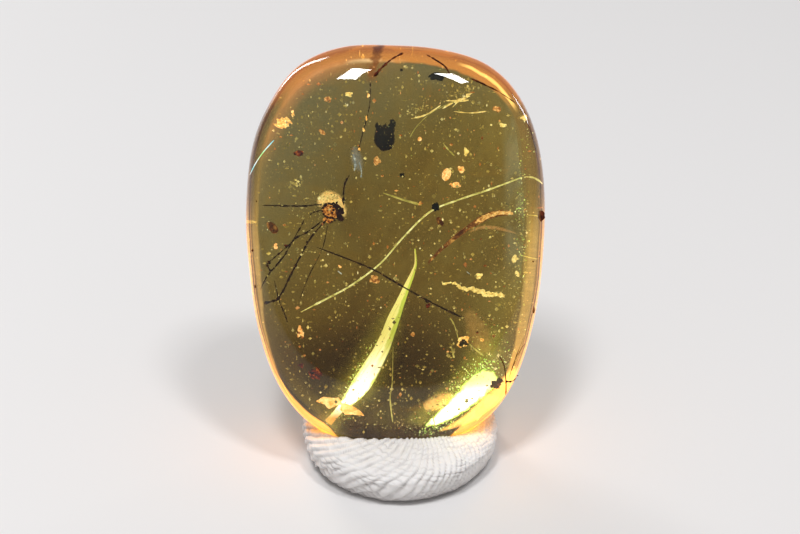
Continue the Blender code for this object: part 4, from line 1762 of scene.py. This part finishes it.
@dataclass
class Crumbs:
    """The crumbs, chips and bracts."""

    crumbs: tuple[Crumb, ...] = (
        Crumb("pupa", BROWN_CHITIN, -7.4, 13.6, 0.46, 0.82, 0.46, 1, 35),
        Crumb("soot_cluster", SOOT, 2.45, 14.86, 0.42, 0.46, 0.24, 11, 20, -0.34),
        Crumb("brown_capsule", BROWN_CHITIN, 2.7, 13.95, 0.36, 0.62, 0.34, 1, 25),
        Crumb("cream_oval", CREAM, 3.1, 16.85, 0.52, 0.75, 0.35, 1, -15),
        Crumb("crumb_above_strand", CREAM, 4.0, 17.2, 0.5, 0.4, 0.3, 5),
        Crumb("crumb_on_strand", CREAM, 3.68, 16.2, 0.72, 0.34, 0.26, 5, 8, -0.22),
        Crumb("crumb_left_shoulder", GOLD_BRIGHT, -6.75, 20.15, 0.95, 0.38, 0.35, 12, 34),
        Grain("shoulder_spike", GOLD_BRIGHT, -6.2, 20.75, 0.16, 0.5, 0.2, 4, -20),
        Crumb("dark_crumb", RUST, -5.8, 18.2, 0.6, 0.42, 0.35, 6),
        Crumb("crumb_below_beetle", GOLD, -1.1, 17.7, 0.5, 0.5, 0.4, 6, 30),
        Crumb("crumb_right_shoulder", GOLD, 6.25, 21.0, 0.6, 0.3, 0.3, 5, -5),
        Crumb("yellow_crumb", TWIG, 6.6, 20.0, 0.55, 0.3, 0.3, 3, 18),
        Crumb("crumb_by_twig", TWIG, 5.05, 10.6, 0.45, 0.36, 0.3, 5, -30),
        Crumb("cream_fleck", CREAM, -5.75, 7.15, 0.34, 0.6, 0.26, 5, 15),
        Crumb("red_bark_chip", RUST, -4.9, 4.5, 1.05, 0.42, 0.3, 8, 38, -0.6),
        Crumb("dark_chip", DARK_RUST, 4.2, 6.5, 0.62, 0.5, 0.3, 5, 15, -0.35),
        Crumb("chip_by_fracture", DARK_RUST, 6.45, 3.62, 1.0, 0.66, 0.3, 5, 8, -0.75),
        Grain("red_bark_grain", RUST, -5.8, 4.95, 0.36, 0.3, 0.3, 4, 0, -0.6),
        Grain("crumb_top_left", GOLD, -4.1, 21.55, 0.55, 0.28, 0.3, 5),
        Grain("black_bit", SOOT, 0.45, 16.8, 0.3, 0.26, 0.2, 6),
        Grain("crumb_top_left_pair", TWIG, -2.83, 21.8, 0.5, 0.26, 0.3, 5),
        Grain("crumb_left_upper", GOLD, -4.4, 19.5, 0.36, 0.34, 0.3, 4, 30),
        Grain("crumb_far_shoulder", TWIG, 7.78, 20.5, 0.4, 0.36, 0.3, 4),
        Grain("reddish_chip", GOLD, 1.08, 7.07, 0.36, 0.32, 0.25, 4, 20),
        Grain("yellow_oval_upper", TWIG, 7.2, 11.65, 0.26, 0.52, 0.25, 1, -12),
        Grain("yellow_oval_lower", TWIG, 7.38, 10.7, 0.2, 0.38, 0.22, 1, 20),
        Grain("orange_grain", GOLD, -0.75, 16.75, 0.22, 0.2, 0.2, 2, 20),
        Grain("cream_grain", CREAM, 1.5, 19.0, 0.24, 0.24, 0.2, 1, 20),
        Grain("right_grain", TWIG, 4.3, 18.3, 0.5, 0.3, 0.2, 5, 60),
        Grain("shell_grain", CREAM, -3.3, 11.2, 0.24, 0.24, 0.2, 2),
        Grain("orange_cluster", GOLD, -1.2, 10.4, 0.6, 0.45, 0.2, 7, 15),
        Grain("leg_crumb", CREAM, -7.2, 12.4, 0.3, 0.4, 0.2, 4, 20),
        Grain("leg_grain", RUST, -6.6, 12.5, 0.28, 0.24, 0.2, 2, 0, -0.1),
        Grain("dark_chip_edge", GOLD_BRIGHT, 4.16, 6.52, 0.78, 0.6, 0.2, 7, 15, -0.1),
        Grain("leg_chip", RUST, 2.0, 8.85, 0.34, 0.3, 0.2, 4, 0, -0.3),
        Grain("root_bit_a", GOLD_BRIGHT, -1.75, 20.3, 0.12, 0.34, 0.15, 3, -8, -0.1),
        Grain("root_bit_b", GOLD_BRIGHT, -1.9, 19.6, 0.16, 0.3, 0.15, 3, -10, -0.1),
        Grain("root_bit_c", BRACT, -1.62, 21.7, 0.2, 0.3, 0.15, 3, 0, -0.1),
        Grain("root_bit_d", GOLD_BRIGHT, -2.15, 18.4, 0.16, 0.24, 0.15, 3, -20, -0.1),
        Grain("red_grain_low", RUST, 5.0, 7.1, 0.2, 0.2, 0.2, 2),
        Grain("tan_grain_low", GOLD_BRIGHT, 5.3, 6.6, 0.3, 0.26, 0.2, 3),
        Grain("hair_knot", GOLD, 1.55, 15.05, 0.36, 0.22, 0.2, 3, -15, 0.25),
        Grain("stain_by_top", SOOT, 2.66, 22.95, 1.15, 0.4, 0.2, 9, -8, -0.5),
        Grain("red_chip", RUST, 0.36, 19.2, 0.2, 0.2, 0.2, 2),
        Grain("black_speck", SOOT, 0.4, 23.3, 0.24, 0.24, 0.2, 2, 0, -0.4),
    )
    bracts: tuple[tuple[str, float, tuple[Place, ...]], ...] = (
        ("bract_left", -0.32, (
            (-4.95, 2.62), (-4.45, 2.95), (-3.95, 2.86), (-3.5, 2.95), (-3.3, 2.55), (-3.75, 2.35),
            (-4.1, 2.2), (-4.4, 2.4),
        )),
        ("bract_right", 0.0, (
            (-3.35, 2.6), (-2.75, 2.55), (-2.3, 2.2), (-1.9, 1.82), (-2.5, 1.88), (-3.1, 1.85), (-3.4, 2.1),
        )),
    )

    def build(self) -> None:
        """Makes each crumb a piece, and each bract a ragged flake."""
        for seed, crumb in enumerate(self.crumbs):
            bm = bmesh.new()
            self._break_up(bm, crumb, random.Random(seed))
            if crumb.has_node:
                settle(f"{crumb.name}_fine", bm, crumb.finish, (crumb.name,))
            else:
                settle(crumb.name, bm, crumb.finish)
        for name, lift, outline in self.bracts:
            bm = bmesh.new()
            flake(bm, outline, lift, 0.12)
            settle(f"{name}_flake", bm, BRACT, (name,))

    @staticmethod
    def _break_up(bm: BMesh, crumb: Crumb, dice: random.Random) -> None:
        """Draws a crumb as one lump, or as several that lean on each other inside its oval.

        Args:
            bm: the mesh.
            crumb: the crumb.
            dice: its random numbers.
        """
        if crumb.bits == 1:
            size = (crumb.width, crumb.thickness, crumb.height)
            spot = STONE.under(crumb.x, crumb.z, crumb.lift)
            ragged_ball(bm, size, spot, crumb.turn, 0.16, 1.8, dice.randrange(99), 4)
            return
        for bit in range(crumb.bits):
            way = 2 * math.pi * (bit + dice.uniform(-0.3, 0.3)) / crumb.bits
            out = dice.uniform(0.15, 0.42) if bit else 0.0
            along, across = crumb.width * out * math.cos(way), crumb.height * out * math.sin(way)
            x, z = beside((crumb.x, crumb.z), along, across, crumb.turn)
            share = dice.uniform(0.34, 0.54) if bit else 0.6
            size = (crumb.width * share, crumb.thickness * 0.7, crumb.height * share * dice.uniform(0.8, 1.2))
            spot = STONE.under(x, z, crumb.lift)
            ragged_ball(bm, size, spot, -crumb.turn + dice.uniform(-25, 25), 0.5, 1.7, dice.randrange(999), 3)


@dataclass(frozen=True)
class Swarm:
    """A patch of specks: its middle, its reach, its turn, how many, and their radii."""

    x: float
    z: float
    reach: Place
    turn: float
    count: int
    radii: Place


@dataclass
class Dust:
    """The specks all through the resin."""

    name: str
    finish: Mottle
    loose: int
    radii: Place
    seed: int
    swarms: tuple[Swarm, ...] = ()
    depth: float = 1.0
    skin: float = 0.12

    def build(self) -> None:
        """Makes one joined mesh of specks."""
        dice = np.random.default_rng(self.seed)
        places, sizes = self._scatter(dice)
        for swarm in self.swarms:
            offset = dice.normal(0, 0.5, (swarm.count, 2)) * swarm.reach
            x, z = beside((swarm.x, swarm.z), *offset.T, swarm.turn)
            y = [STONE.under(*spot).y for spot in zip(x, z)] + dice.normal(0, 0.15, swarm.count)
            inside = STONE.rim_share(x, z) < 0.96
            places = np.concatenate([places, np.stack([x, y, z], 1)[inside]])
            sizes = np.concatenate([sizes, dice.uniform(*swarm.radii, swarm.count)[inside]])
        self._settle(places, sizes, dice)

    def _scatter(self, dice: np.random.Generator) -> tuple[np.ndarray, np.ndarray]:
        """Places the loose specks through the stone, thicker to the right and low down.

        Args:
            dice: the random numbers.

        Returns:
            The places and the radii.
        """
        x = dice.uniform(-9, 9, self.loose * 5)
        z = dice.uniform(0.3, 24.4, self.loose * 5)
        spots = (Vector((a * 0.22, self.seed, b * 0.22)) for a, b in zip(x, z))
        patch = np.array([noise.fractal(spot, 1.0, 2.0, 3) for spot in spots])
        weight = 0.35 + 0.25 * (x + 9) / 18 + 0.25 * (1 - z / STONE.height) + 0.5 * patch
        share = STONE.rim_share(x, z)
        weight = np.where(share > 0.86, 0.1 * weight, weight)
        keep = (dice.uniform(0, 1, len(x)) < weight) & (share < 0.97)
        x, z, share = (values[keep][: self.loose] for values in (x, z, share))
        room = STONE.dome(share) - self.skin
        y = np.clip(STONE.flow(x, z) + dice.normal(0, self.depth, len(x)), -room, room)
        sizes = self.radii[0] + (self.radii[1] - self.radii[0]) * dice.uniform(0, 1, len(x)) ** 6
        return np.stack([x, y, z], 1), sizes

    def _settle(self, places: np.ndarray, sizes: np.ndarray, dice: np.random.Generator) -> None:
        """Makes a ball at each place, a little out of round.

        Args:
            places: the places.
            sizes: the radii.
            dice: the random numbers.
        """
        bm = swarm_mesh(len(places))
        balls = np.array([vert.co[:] for vert in bm.verts]).reshape(len(places), -1, 3)
        squash = dice.uniform(0.35, 1.6, (len(places), 1, 3)) * sizes[:, None, None]
        moved = (balls * squash + places[:, None, :]).reshape(-1, 3)
        for vert, place in zip(bm.verts, moved):
            vert.co = place
        settle(self.name, bm, self.finish)


@dataclass
class Specks:
    """The three kinds of specks: gold, orange, and the green ones round the leaf's foot and the fracture."""

    dust: tuple[Dust, ...] = (
        Dust("gold_dust", DUST_GOLD, 8500, (0.009, 0.1), 1, (
            Swarm(-3.95, 15.4, (0.75, 0.5), 0, 260, (0.012, 0.034)),
            Swarm(-4.0, 14.6, (1.5, 1.3), 0, 200, (0.01, 0.028)),
            Swarm(-5.5, 18.5, (4.0, 3.0), 0, 700, (0.008, 0.02)),
            Swarm(6.8, 9.0, (0.8, 4.5), 0, 420, (0.01, 0.03)),
            Swarm(-5.9, 16.2, (0.5, 0.25), 10, 30, (0.03, 0.08)),
            Swarm(3.94, 21.5, (0.9, 0.35), 20, 150, (0.012, 0.06)),
            Swarm(1.41, 20.6, (0.8, 0.15), 8, 40, (0.02, 0.06)),
            Swarm(7.3, 14.0, (0.3, 2.5), 0, 160, (0.015, 0.04)),
            Swarm(4.0, 4.0, (2.2, 1.2), 20, 160, (0.015, 0.04)),
            Swarm(1.0, 1.6, (3.0, 0.6), 0, 160, (0.015, 0.04)),
        )),
        Dust("orange_dust", DUST_ORANGE, 900, (0.012, 0.1), 2),
        Dust("green_sparkles", SPARKLE, 60, (0.01, 0.03), 3, (
            Swarm(3.9, 3.8, (2.2, 0.7), 42, 420, (0.01, 0.05)),
            Swarm(5.0, 5.0, (0.9, 0.7), 20, 160, (0.012, 0.05)),
            Swarm(2.6, 1.6, (1.4, 0.5), 15, 160, (0.01, 0.045)),
            Swarm(7.35, 15.0, (0.35, 5.5), 0, 170, (0.01, 0.034)),
            Swarm(6.0, 6.0, (1.2, 2.0), 0, 120, (0.01, 0.034)),
            Swarm(-2.5, 3.4, (0.5, 2.2), -30, 110, (0.01, 0.034)),
            Swarm(-2.45, 4.5, (0.22, 2.2), -29, 170, (0.012, 0.045)),
        )),
    )

    def build(self) -> None:
        """Makes each kind a piece."""
        for dust in self.dust:
            dust.build()


@dataclass
class Hairs:
    """Fine loose hairs in the resin."""

    hairs: tuple[Thread, ...] = (
        Thread("tuft_a", ((2.9, 20.9), (3.6, 21.3), (4.5, 21.5)), (0.03, 0.06), -0.1, 0.9),
        Thread("tuft_b", ((3.1, 21.4), (3.8, 21.45), (4.6, 21.75)), (0.03, 0.05), -0.1, 0.9),
        Thread("tuft_c", ((3.5, 21.0), (4.1, 21.6), (4.75, 21.95)), (0.02, 0.05), -0.1, 0.9),
        Thread("tuft_d", ((3.6, 20.75), (4.6, 20.7), (5.6, 20.85)), (0.02, 0.04), 0.0, 0.9),
        Thread("tuft_e", ((1.0, 20.25), (1.9, 20.5), (2.8, 21.1)), (0.05, 0.04), 0.0, 0.9),
        Thread(
            "arc_top", ((0.9, 19.1), (1.35, 19.8), (2.2, 20.6), (3.3, 21.2), (4.2, 21.6)),
            (0.018, 0.03), 0.2, 0.5,
        ),
        Thread("arc_top_low", ((2.9, 18.8), (3.2, 18.4), (3.6, 18.0)), (0.03, 0.04), 0.0, 0.8),
        Thread("hair_low", ((-0.12, 6.3), (-0.18, 4.0), (-0.31, 3.0), (-0.15, 1.4)), (0.025, 0.05), 0.1, 0.3),
        Thread("hair_right", ((3.32, 8.06), (3.6, 7.56), (3.87, 6.6)), (0.045, 0.02), 0.0, 0.4),
        Thread("hair_right_low", ((3.42, 6.27), (3.5, 5.9), (3.6, 5.54)), (0.03, 0.06), 0.0, 0.3),
        Thread("hair_streak", ((-0.74, 15.7), (0.4, 15.3), (1.6, 14.95)), (0.03, 0.09), 0.3, 0.3),
        Thread("hair_green", ((2.34, 1.9), (2.45, 1.4), (2.52, 0.9)), (0.05, 0.03), -0.3, 0.3),
        Thread("hair_dot", ((7.5, 11.9), (8.0, 11.75), (8.55, 11.6)), (0.03, 0.025), 0.0, 0.2),
        Thread("hair_rim", ((8.0, 14.4), (8.5, 14.35), (8.9, 14.2)), (0.03, 0.03), 0.0, 0.2),
        Thread("hair_chip", ((4.5, 6.4), (4.9, 6.0), (5.4, 5.6)), (0.04, 0.05), 0.0, 0.3),
        Thread(
            "mist_a", ((-2.52, 18.1), (-2.42, 17.75), (-2.4, 17.4), (-2.46, 17.05)), (0.035, 0.05), 0.0, 0.9,
        ),
        Thread(
            "mist_b", ((-2.16, 17.6), (-2.06, 17.25), (-2.02, 16.95), (-2.05, 16.65)),
            (0.03, 0.04), 0.05, 0.9,
        ),
        Thread("mist_c", ((4.3, 10.9), (4.5, 10.75)), (0.03, 0.03), 0.0, 0.5),
        Thread("mist_d", ((-3.45, 10.95), (-3.2, 10.75)), (0.035, 0.045), 0.0, 0.5),
    )

    # a piece of each, its finish, and how its hairs' names start
    pieces: tuple[tuple[str, Mottle, tuple[str, ...]], ...] = (
        ("tuft_hairs", TWIG, ("tuft",)),
        ("mist", PALE_MIST, ("mist",)),
        ("loose_hairs", HAIR_GOLD, ("arc", "hair")),
    )

    def build(self) -> None:
        """Makes one piece of the tuft, one of the pale streaks and one of the other hairs."""
        for name, finish, kinds in self.pieces:
            bm = bmesh.new()
            for hair in self.hairs:
                if hair.name.startswith(kinds):
                    hair.draw(bm)
            settle(name, bm, finish)


@dataclass
class Cracks:
    """Dark cracks under the polish at the top and at the lower right."""

    cracks: tuple[Thread, ...] = (
        Thread(
            "crack_top", ((0.49, 24.1), (-0.1, 23.8), (-0.49, 23.5), (-0.92, 23.1), (-1.25, 22.7)),
            (0.065, 0.075), 0.0, 0.8,
        ),
        Thread("crack_mid", ((1.9, 24.0), (2.5, 23.65), (3.0, 23.3), (3.25, 22.9)), (0.04, 0.06), 0.0, 0.8),
        Thread(
            "crack_right", ((4.5, 22.6), (5.4, 22.2), (6.3, 21.75), (7.25, 21.1)), (0.05, 0.025), 0.0, 0.7,
        ),
        Thread("crack_low", ((6.3, 5.9), (6.62, 5.2), (6.74, 4.2), (6.77, 3.3)), (0.03, 0.05), 0.0, 0.5),
        Thread("crack_low_branch", ((6.74, 4.24), (7.1, 4.16), (7.62, 4.3)), (0.05, 0.04), 0.0, 0.5),
        Thread("crack_rim", ((6.95, 4.5), (7.3, 5.6), (7.8, 6.9)), (0.025, 0.02), 0.0, 0.6),
        Thread("crack_rim_twin", ((7.1, 4.9), (7.5, 5.9), (7.9, 6.5)), (0.015, 0.02), 0.0, 0.6),
    )
    # x, z, width and height of what lies at the rim
    spots: tuple[Row, ...] = (
        (8.82, 14.3, 0.5, 0.62), (8.45, 8.55, 0.12, 0.42), (-8.62, 12.2, 0.16, 0.14),
        (-8.5, 10.0, 0.08, 0.22), (8.35, 11.55, 0.1, 0.1), (-8.35, 15.2, 0.09, 0.09),
    )
    scratch: Thread = Thread(
        "scratch", ((-7.26, 18.9), (-7.9, 18.2), (-8.4, 17.5), (-8.8, 16.75)), (0.03, 0.03), 0.0, 0.2,
    )

    def build(self) -> None:
        """Makes the cracks one piece, and the scratch on the polish another."""
        bm = bmesh.new()
        for crack in self.cracks:
            crack.draw(bm, surface=True)
        for seed, (x, z, width, height) in enumerate(self.spots):
            ragged_ball(bm, (width, 0.12, height), STONE.on_face(x, z), 0, 0.4, 1.8, seed + 40, 3)
        settle("dark_cracks", bm, CRACK_BROWN)
        bm = bmesh.new()
        self.scratch.draw(bm, surface=True)
        settle("polish_scratch", bm, ScratchFinish())


@dataclass
class Veil:
    """A thin curved lens inside the resin, drawn by its middle line and half widths."""

    name: str
    stations: tuple[Station, ...]
    lift: float
    finish: Finish
    fade: float = 2.0
    thickness: float = 0.06
    cells: int = 24

    def build(self) -> None:
        """Makes the lens as a grid laid along its stations and given a wall."""
        bm = bmesh.new()
        bmesh.ops.create_grid(bm, x_segments=self.cells, y_segments=self.cells, size=1)
        route = np.array(smooth_route(self.stations, 8))
        ahead = np.gradient(route[:, :2], axis=0)
        ahead /= np.linalg.norm(ahead, axis=1)[:, None]
        core = bm.verts.layers.float.new("core")
        for vert in bm.verts:
            across, along = vert.co.x, (vert.co.y + 1) / 2 * (len(route) - 1)
            x, z, half = (np.interp(along, range(len(route)), route[:, i]) for i in range(3))
            dx, dz = (np.interp(along, range(len(route)), ahead[:, i]) for i in range(2))
            vert[core] = (1 - across**2) ** self.fade * (1 - vert.co.y**4)
            vert.co = STONE.under(x - dz * across * half, z + dx * across * half, self.lift)
        thicken(bm, self.thickness)
        bmesh.ops.recalc_face_normals(bm, faces=bm.faces[:])
        settle(self.name, bm, self.finish)


@dataclass
class Veils:
    """The bright fracture, the flat patches and the soft clouds of light in the resin."""

    veils: tuple[Veil, ...] = (
        Veil(
            "fracture_sheet",
            ((1.8, 1.05, 0.12), (2.6, 1.45, 0.4), (3.4, 2.0, 0.6), (4.2, 2.65, 0.78), (4.9, 3.35, 0.88),
             (5.65, 3.95, 0.86), (6.2, 4.45, 0.66)),
            -0.25, FractureFinish(), 1.0,
        ),
        Veil(
            "tan_patch", ((1.75, 2.35, 0.4), (2.3, 2.55, 0.66), (3.0, 2.8, 0.72), (3.7, 3.0, 0.45)),
            0.1, VeilFinish("tan veil", Slot.RESIN, (0.85, 0.5, 0.2), 0.75, 0.8),
        ),
        Veil(
            "insect_halo",
            ((-4.55, 14.8, 0.2), (-4.4, 15.25, 0.4), (-4.0, 15.45, 0.55), (-3.55, 15.25, 0.5),
             (-3.2, 14.7, 0.4), (-3.05, 14.2, 0.22)),
            0.25, VeilFinish("halo veil", Slot.CREAM, (0.85, 0.58, 0.28), 1.0, 0.8, 5.0),
        ),
        # a painted glow: light gathered along the lower right rim
        Veil(
            "rim_sheet",
            ((2.6, 0.7, 0.1), (4.2, 1.3, 0.4), (5.6, 2.3, 0.7), (6.7, 3.5, 0.75), (7.4, 4.8, 0.3)),
            0.4, VeilFinish("rim veil", Slot.RESIN, (0.95, 0.52, 0.17), 0.9, 1.0, 1.5),
        ),
        # painted glows: soft sheets that give off light round the leaf's foot and the fracture
        Veil(
            "leaf_glow",
            ((-4.6, 1.0, 0.8), (-3.2, 2.6, 1.6), (-2.0, 4.2, 1.9), (-0.9, 6.4, 1.7), (0.4, 9.4, 0.7)),
            0.7, VeilFinish("leaf veil", Slot.RESIN, (0.36, 0.34, 0.08), 0.22, 0.55, 2.5),
        ),
        Veil(
            "fracture_glow",
            ((0.6, 1.3, 0.5), (2.4, 2.2, 1.2), (4.2, 3.6, 1.6), (5.4, 5.2, 1.6), (6.4, 7.6, 0.8)),
            0.9, VeilFinish("fracture veil", Slot.RESIN, (0.36, 0.36, 0.08), 0.34, 0.55, 2.0),
        ),
        Veil(
            "tan_cloud", ((4.3, 8.6, 0.4), (4.8, 7.6, 0.9), (5.2, 6.6, 1.0), (5.6, 5.6, 0.5)),
            0.3, VeilFinish("tan cloud", Slot.RESIN, (0.6, 0.36, 0.14), 0.2, 0.6, 3.2),
        ),
        Veil(
            "plume_veil", ((4.4, 13.3, 0.08), (5.2, 13.6, 0.16), (6.2, 13.55, 0.16), (7.4, 13.2, 0.07)),
            0.15, VeilFinish("plume veil", Slot.BARK, (0.55, 0.32, 0.14), 0.45, 0.6, 4.0),
        ),
        Veil(
            "pale_cloud", ((-2.45, 18.6, 0.2), (-2.4, 18.2, 0.42), (-2.28, 17.7, 0.5), (-2.1, 17.0, 0.3)),
            0.1, VeilFinish("cloud veil", Slot.CREAM, (0.36, 0.4, 0.5), 0.26, 0.5, 4.0),
        ),
    )

    def build(self) -> None:
        """Makes each veil a piece."""
        for veil in self.veils:
            veil.build()


@dataclass(frozen=True)
class Lamp:
    """A soft lamp: the side that it hangs on, how far off, its size in metres, and how bright it looks."""

    name: str
    side: Colour
    distance: float
    size: Place
    radiance: float


@dataclass
class Studio:
    """The floor, the light and the camera."""

    aim: tuple[float, float, float] = (0.0, 3.0, 11.2)
    distance: float = 136.7
    elevation: float = 28.0
    lens: float = 100.0
    sensor: float = 36.0
    floor_colour: Colour = (0.82, 0.81, 0.81)
    ambient: Colour = (0.84, 0.83, 0.83)
    ambient_strength: float = 0.38
    lamps: tuple[Lamp, ...] = (
        Lamp("softbox_left", (-0.155, -0.29, 0.945), 0.3, (0.05, 0.08), 29.0),
        Lamp("softbox_right", (0.285, -0.225, 0.932), 0.3, (0.04, 0.06), 32.0),
        Lamp("strip_left", (-0.45, 0.78, 0.36), 0.3, (0.035, 0.24), 10.0),
        Lamp("strip_right", (0.77, 0.62, 0.16), 0.3, (0.03, 0.07), 8.0),
    )

    def build(self) -> None:
        """Sets the studio up."""
        scene = bpy.context.scene
        scene.view_settings.view_transform = "Standard"
        world = bpy.data.worlds.new("studio")
        scene.world = world
        world.use_nodes = True
        back = world.node_tree.nodes["Background"]
        back.inputs["Color"].default_value = (*self.ambient, 1.0)
        back.inputs["Strength"].default_value = self.ambient_strength
        self._floor()
        for lamp in self.lamps:
            self._hang(lamp)
        self._camera(scene)

    def _floor(self) -> None:
        """Lays the pale floor."""
        bm = bmesh.new()
        bmesh.ops.create_grid(bm, x_segments=1, y_segments=1, size=3.0)
        mesh = bpy.data.meshes.new("floor")
        bm.to_mesh(mesh)
        bm.free()
        bench = Bench("floor")
        place = bench.row()
        duller = tuple(share * 0.97 for share in self.floor_colour)
        tint = bench.mix(bench.grain(place, 0.01, 2.0), self.floor_colour, duller)
        mesh.materials.append(bench.close({"Base Color": tint, "Roughness": 0.6}))
        floor = bpy.data.objects.new("floor", mesh)
        bpy.context.scene.collection.objects.link(floor)

    def _hang(self, lamp: Lamp) -> None:
        """Hangs a lamp that faces the stone.

        Args:
            lamp: the lamp.
        """
        light = bpy.data.lights.new(lamp.name, "AREA")
        light.shape = "RECTANGLE"
        light.size, light.size_y = lamp.size
        light.energy = lamp.radiance * math.pi * lamp.size[0] * lamp.size[1]
        holder = bpy.data.objects.new(lamp.name, light)
        side = Vector(lamp.side).normalized()
        holder.location = Vector(self.aim) * MM + side * lamp.distance
        holder.rotation_euler = side.to_track_quat("Z", "Y").to_euler()
        bpy.context.scene.collection.objects.link(holder)

    def _camera(self, scene: bpy.types.Scene) -> None:
        """Stands the camera in front, a little above.

        Args:
            scene: the scene that it is given to.
        """
        data = bpy.data.cameras.new("camera")
        data.lens, data.sensor_width = self.lens, self.sensor
        data.clip_start, data.clip_end = 0.005, 20.0
        camera = bpy.data.objects.new("camera", data)
        tilt = math.radians(self.elevation)
        back = Vector((0, -math.cos(tilt), math.sin(tilt)))
        camera.location = (Vector(self.aim) + back * self.distance) * MM
        camera.rotation_euler = (-back).to_track_quat("-Z", "Y").to_euler()
        scene.collection.objects.link(camera)
        scene.camera = camera


def main() -> None:
    """Builds every sub-assembly in order."""
    logging.basicConfig(level=logging.INFO, format="%(name)s %(message)s")
    stone = Stone().build()
    TackFoot().build(stone)
    inclusions = (LongLeggedInsect, Beetle, LeafSliver, SeedPlume, PlantThreads, Crumbs, Hairs, Cracks)
    for kind in (*inclusions, Veils, Specks, Studio):
        kind().build()


if __name__ == "__main__":
    main()
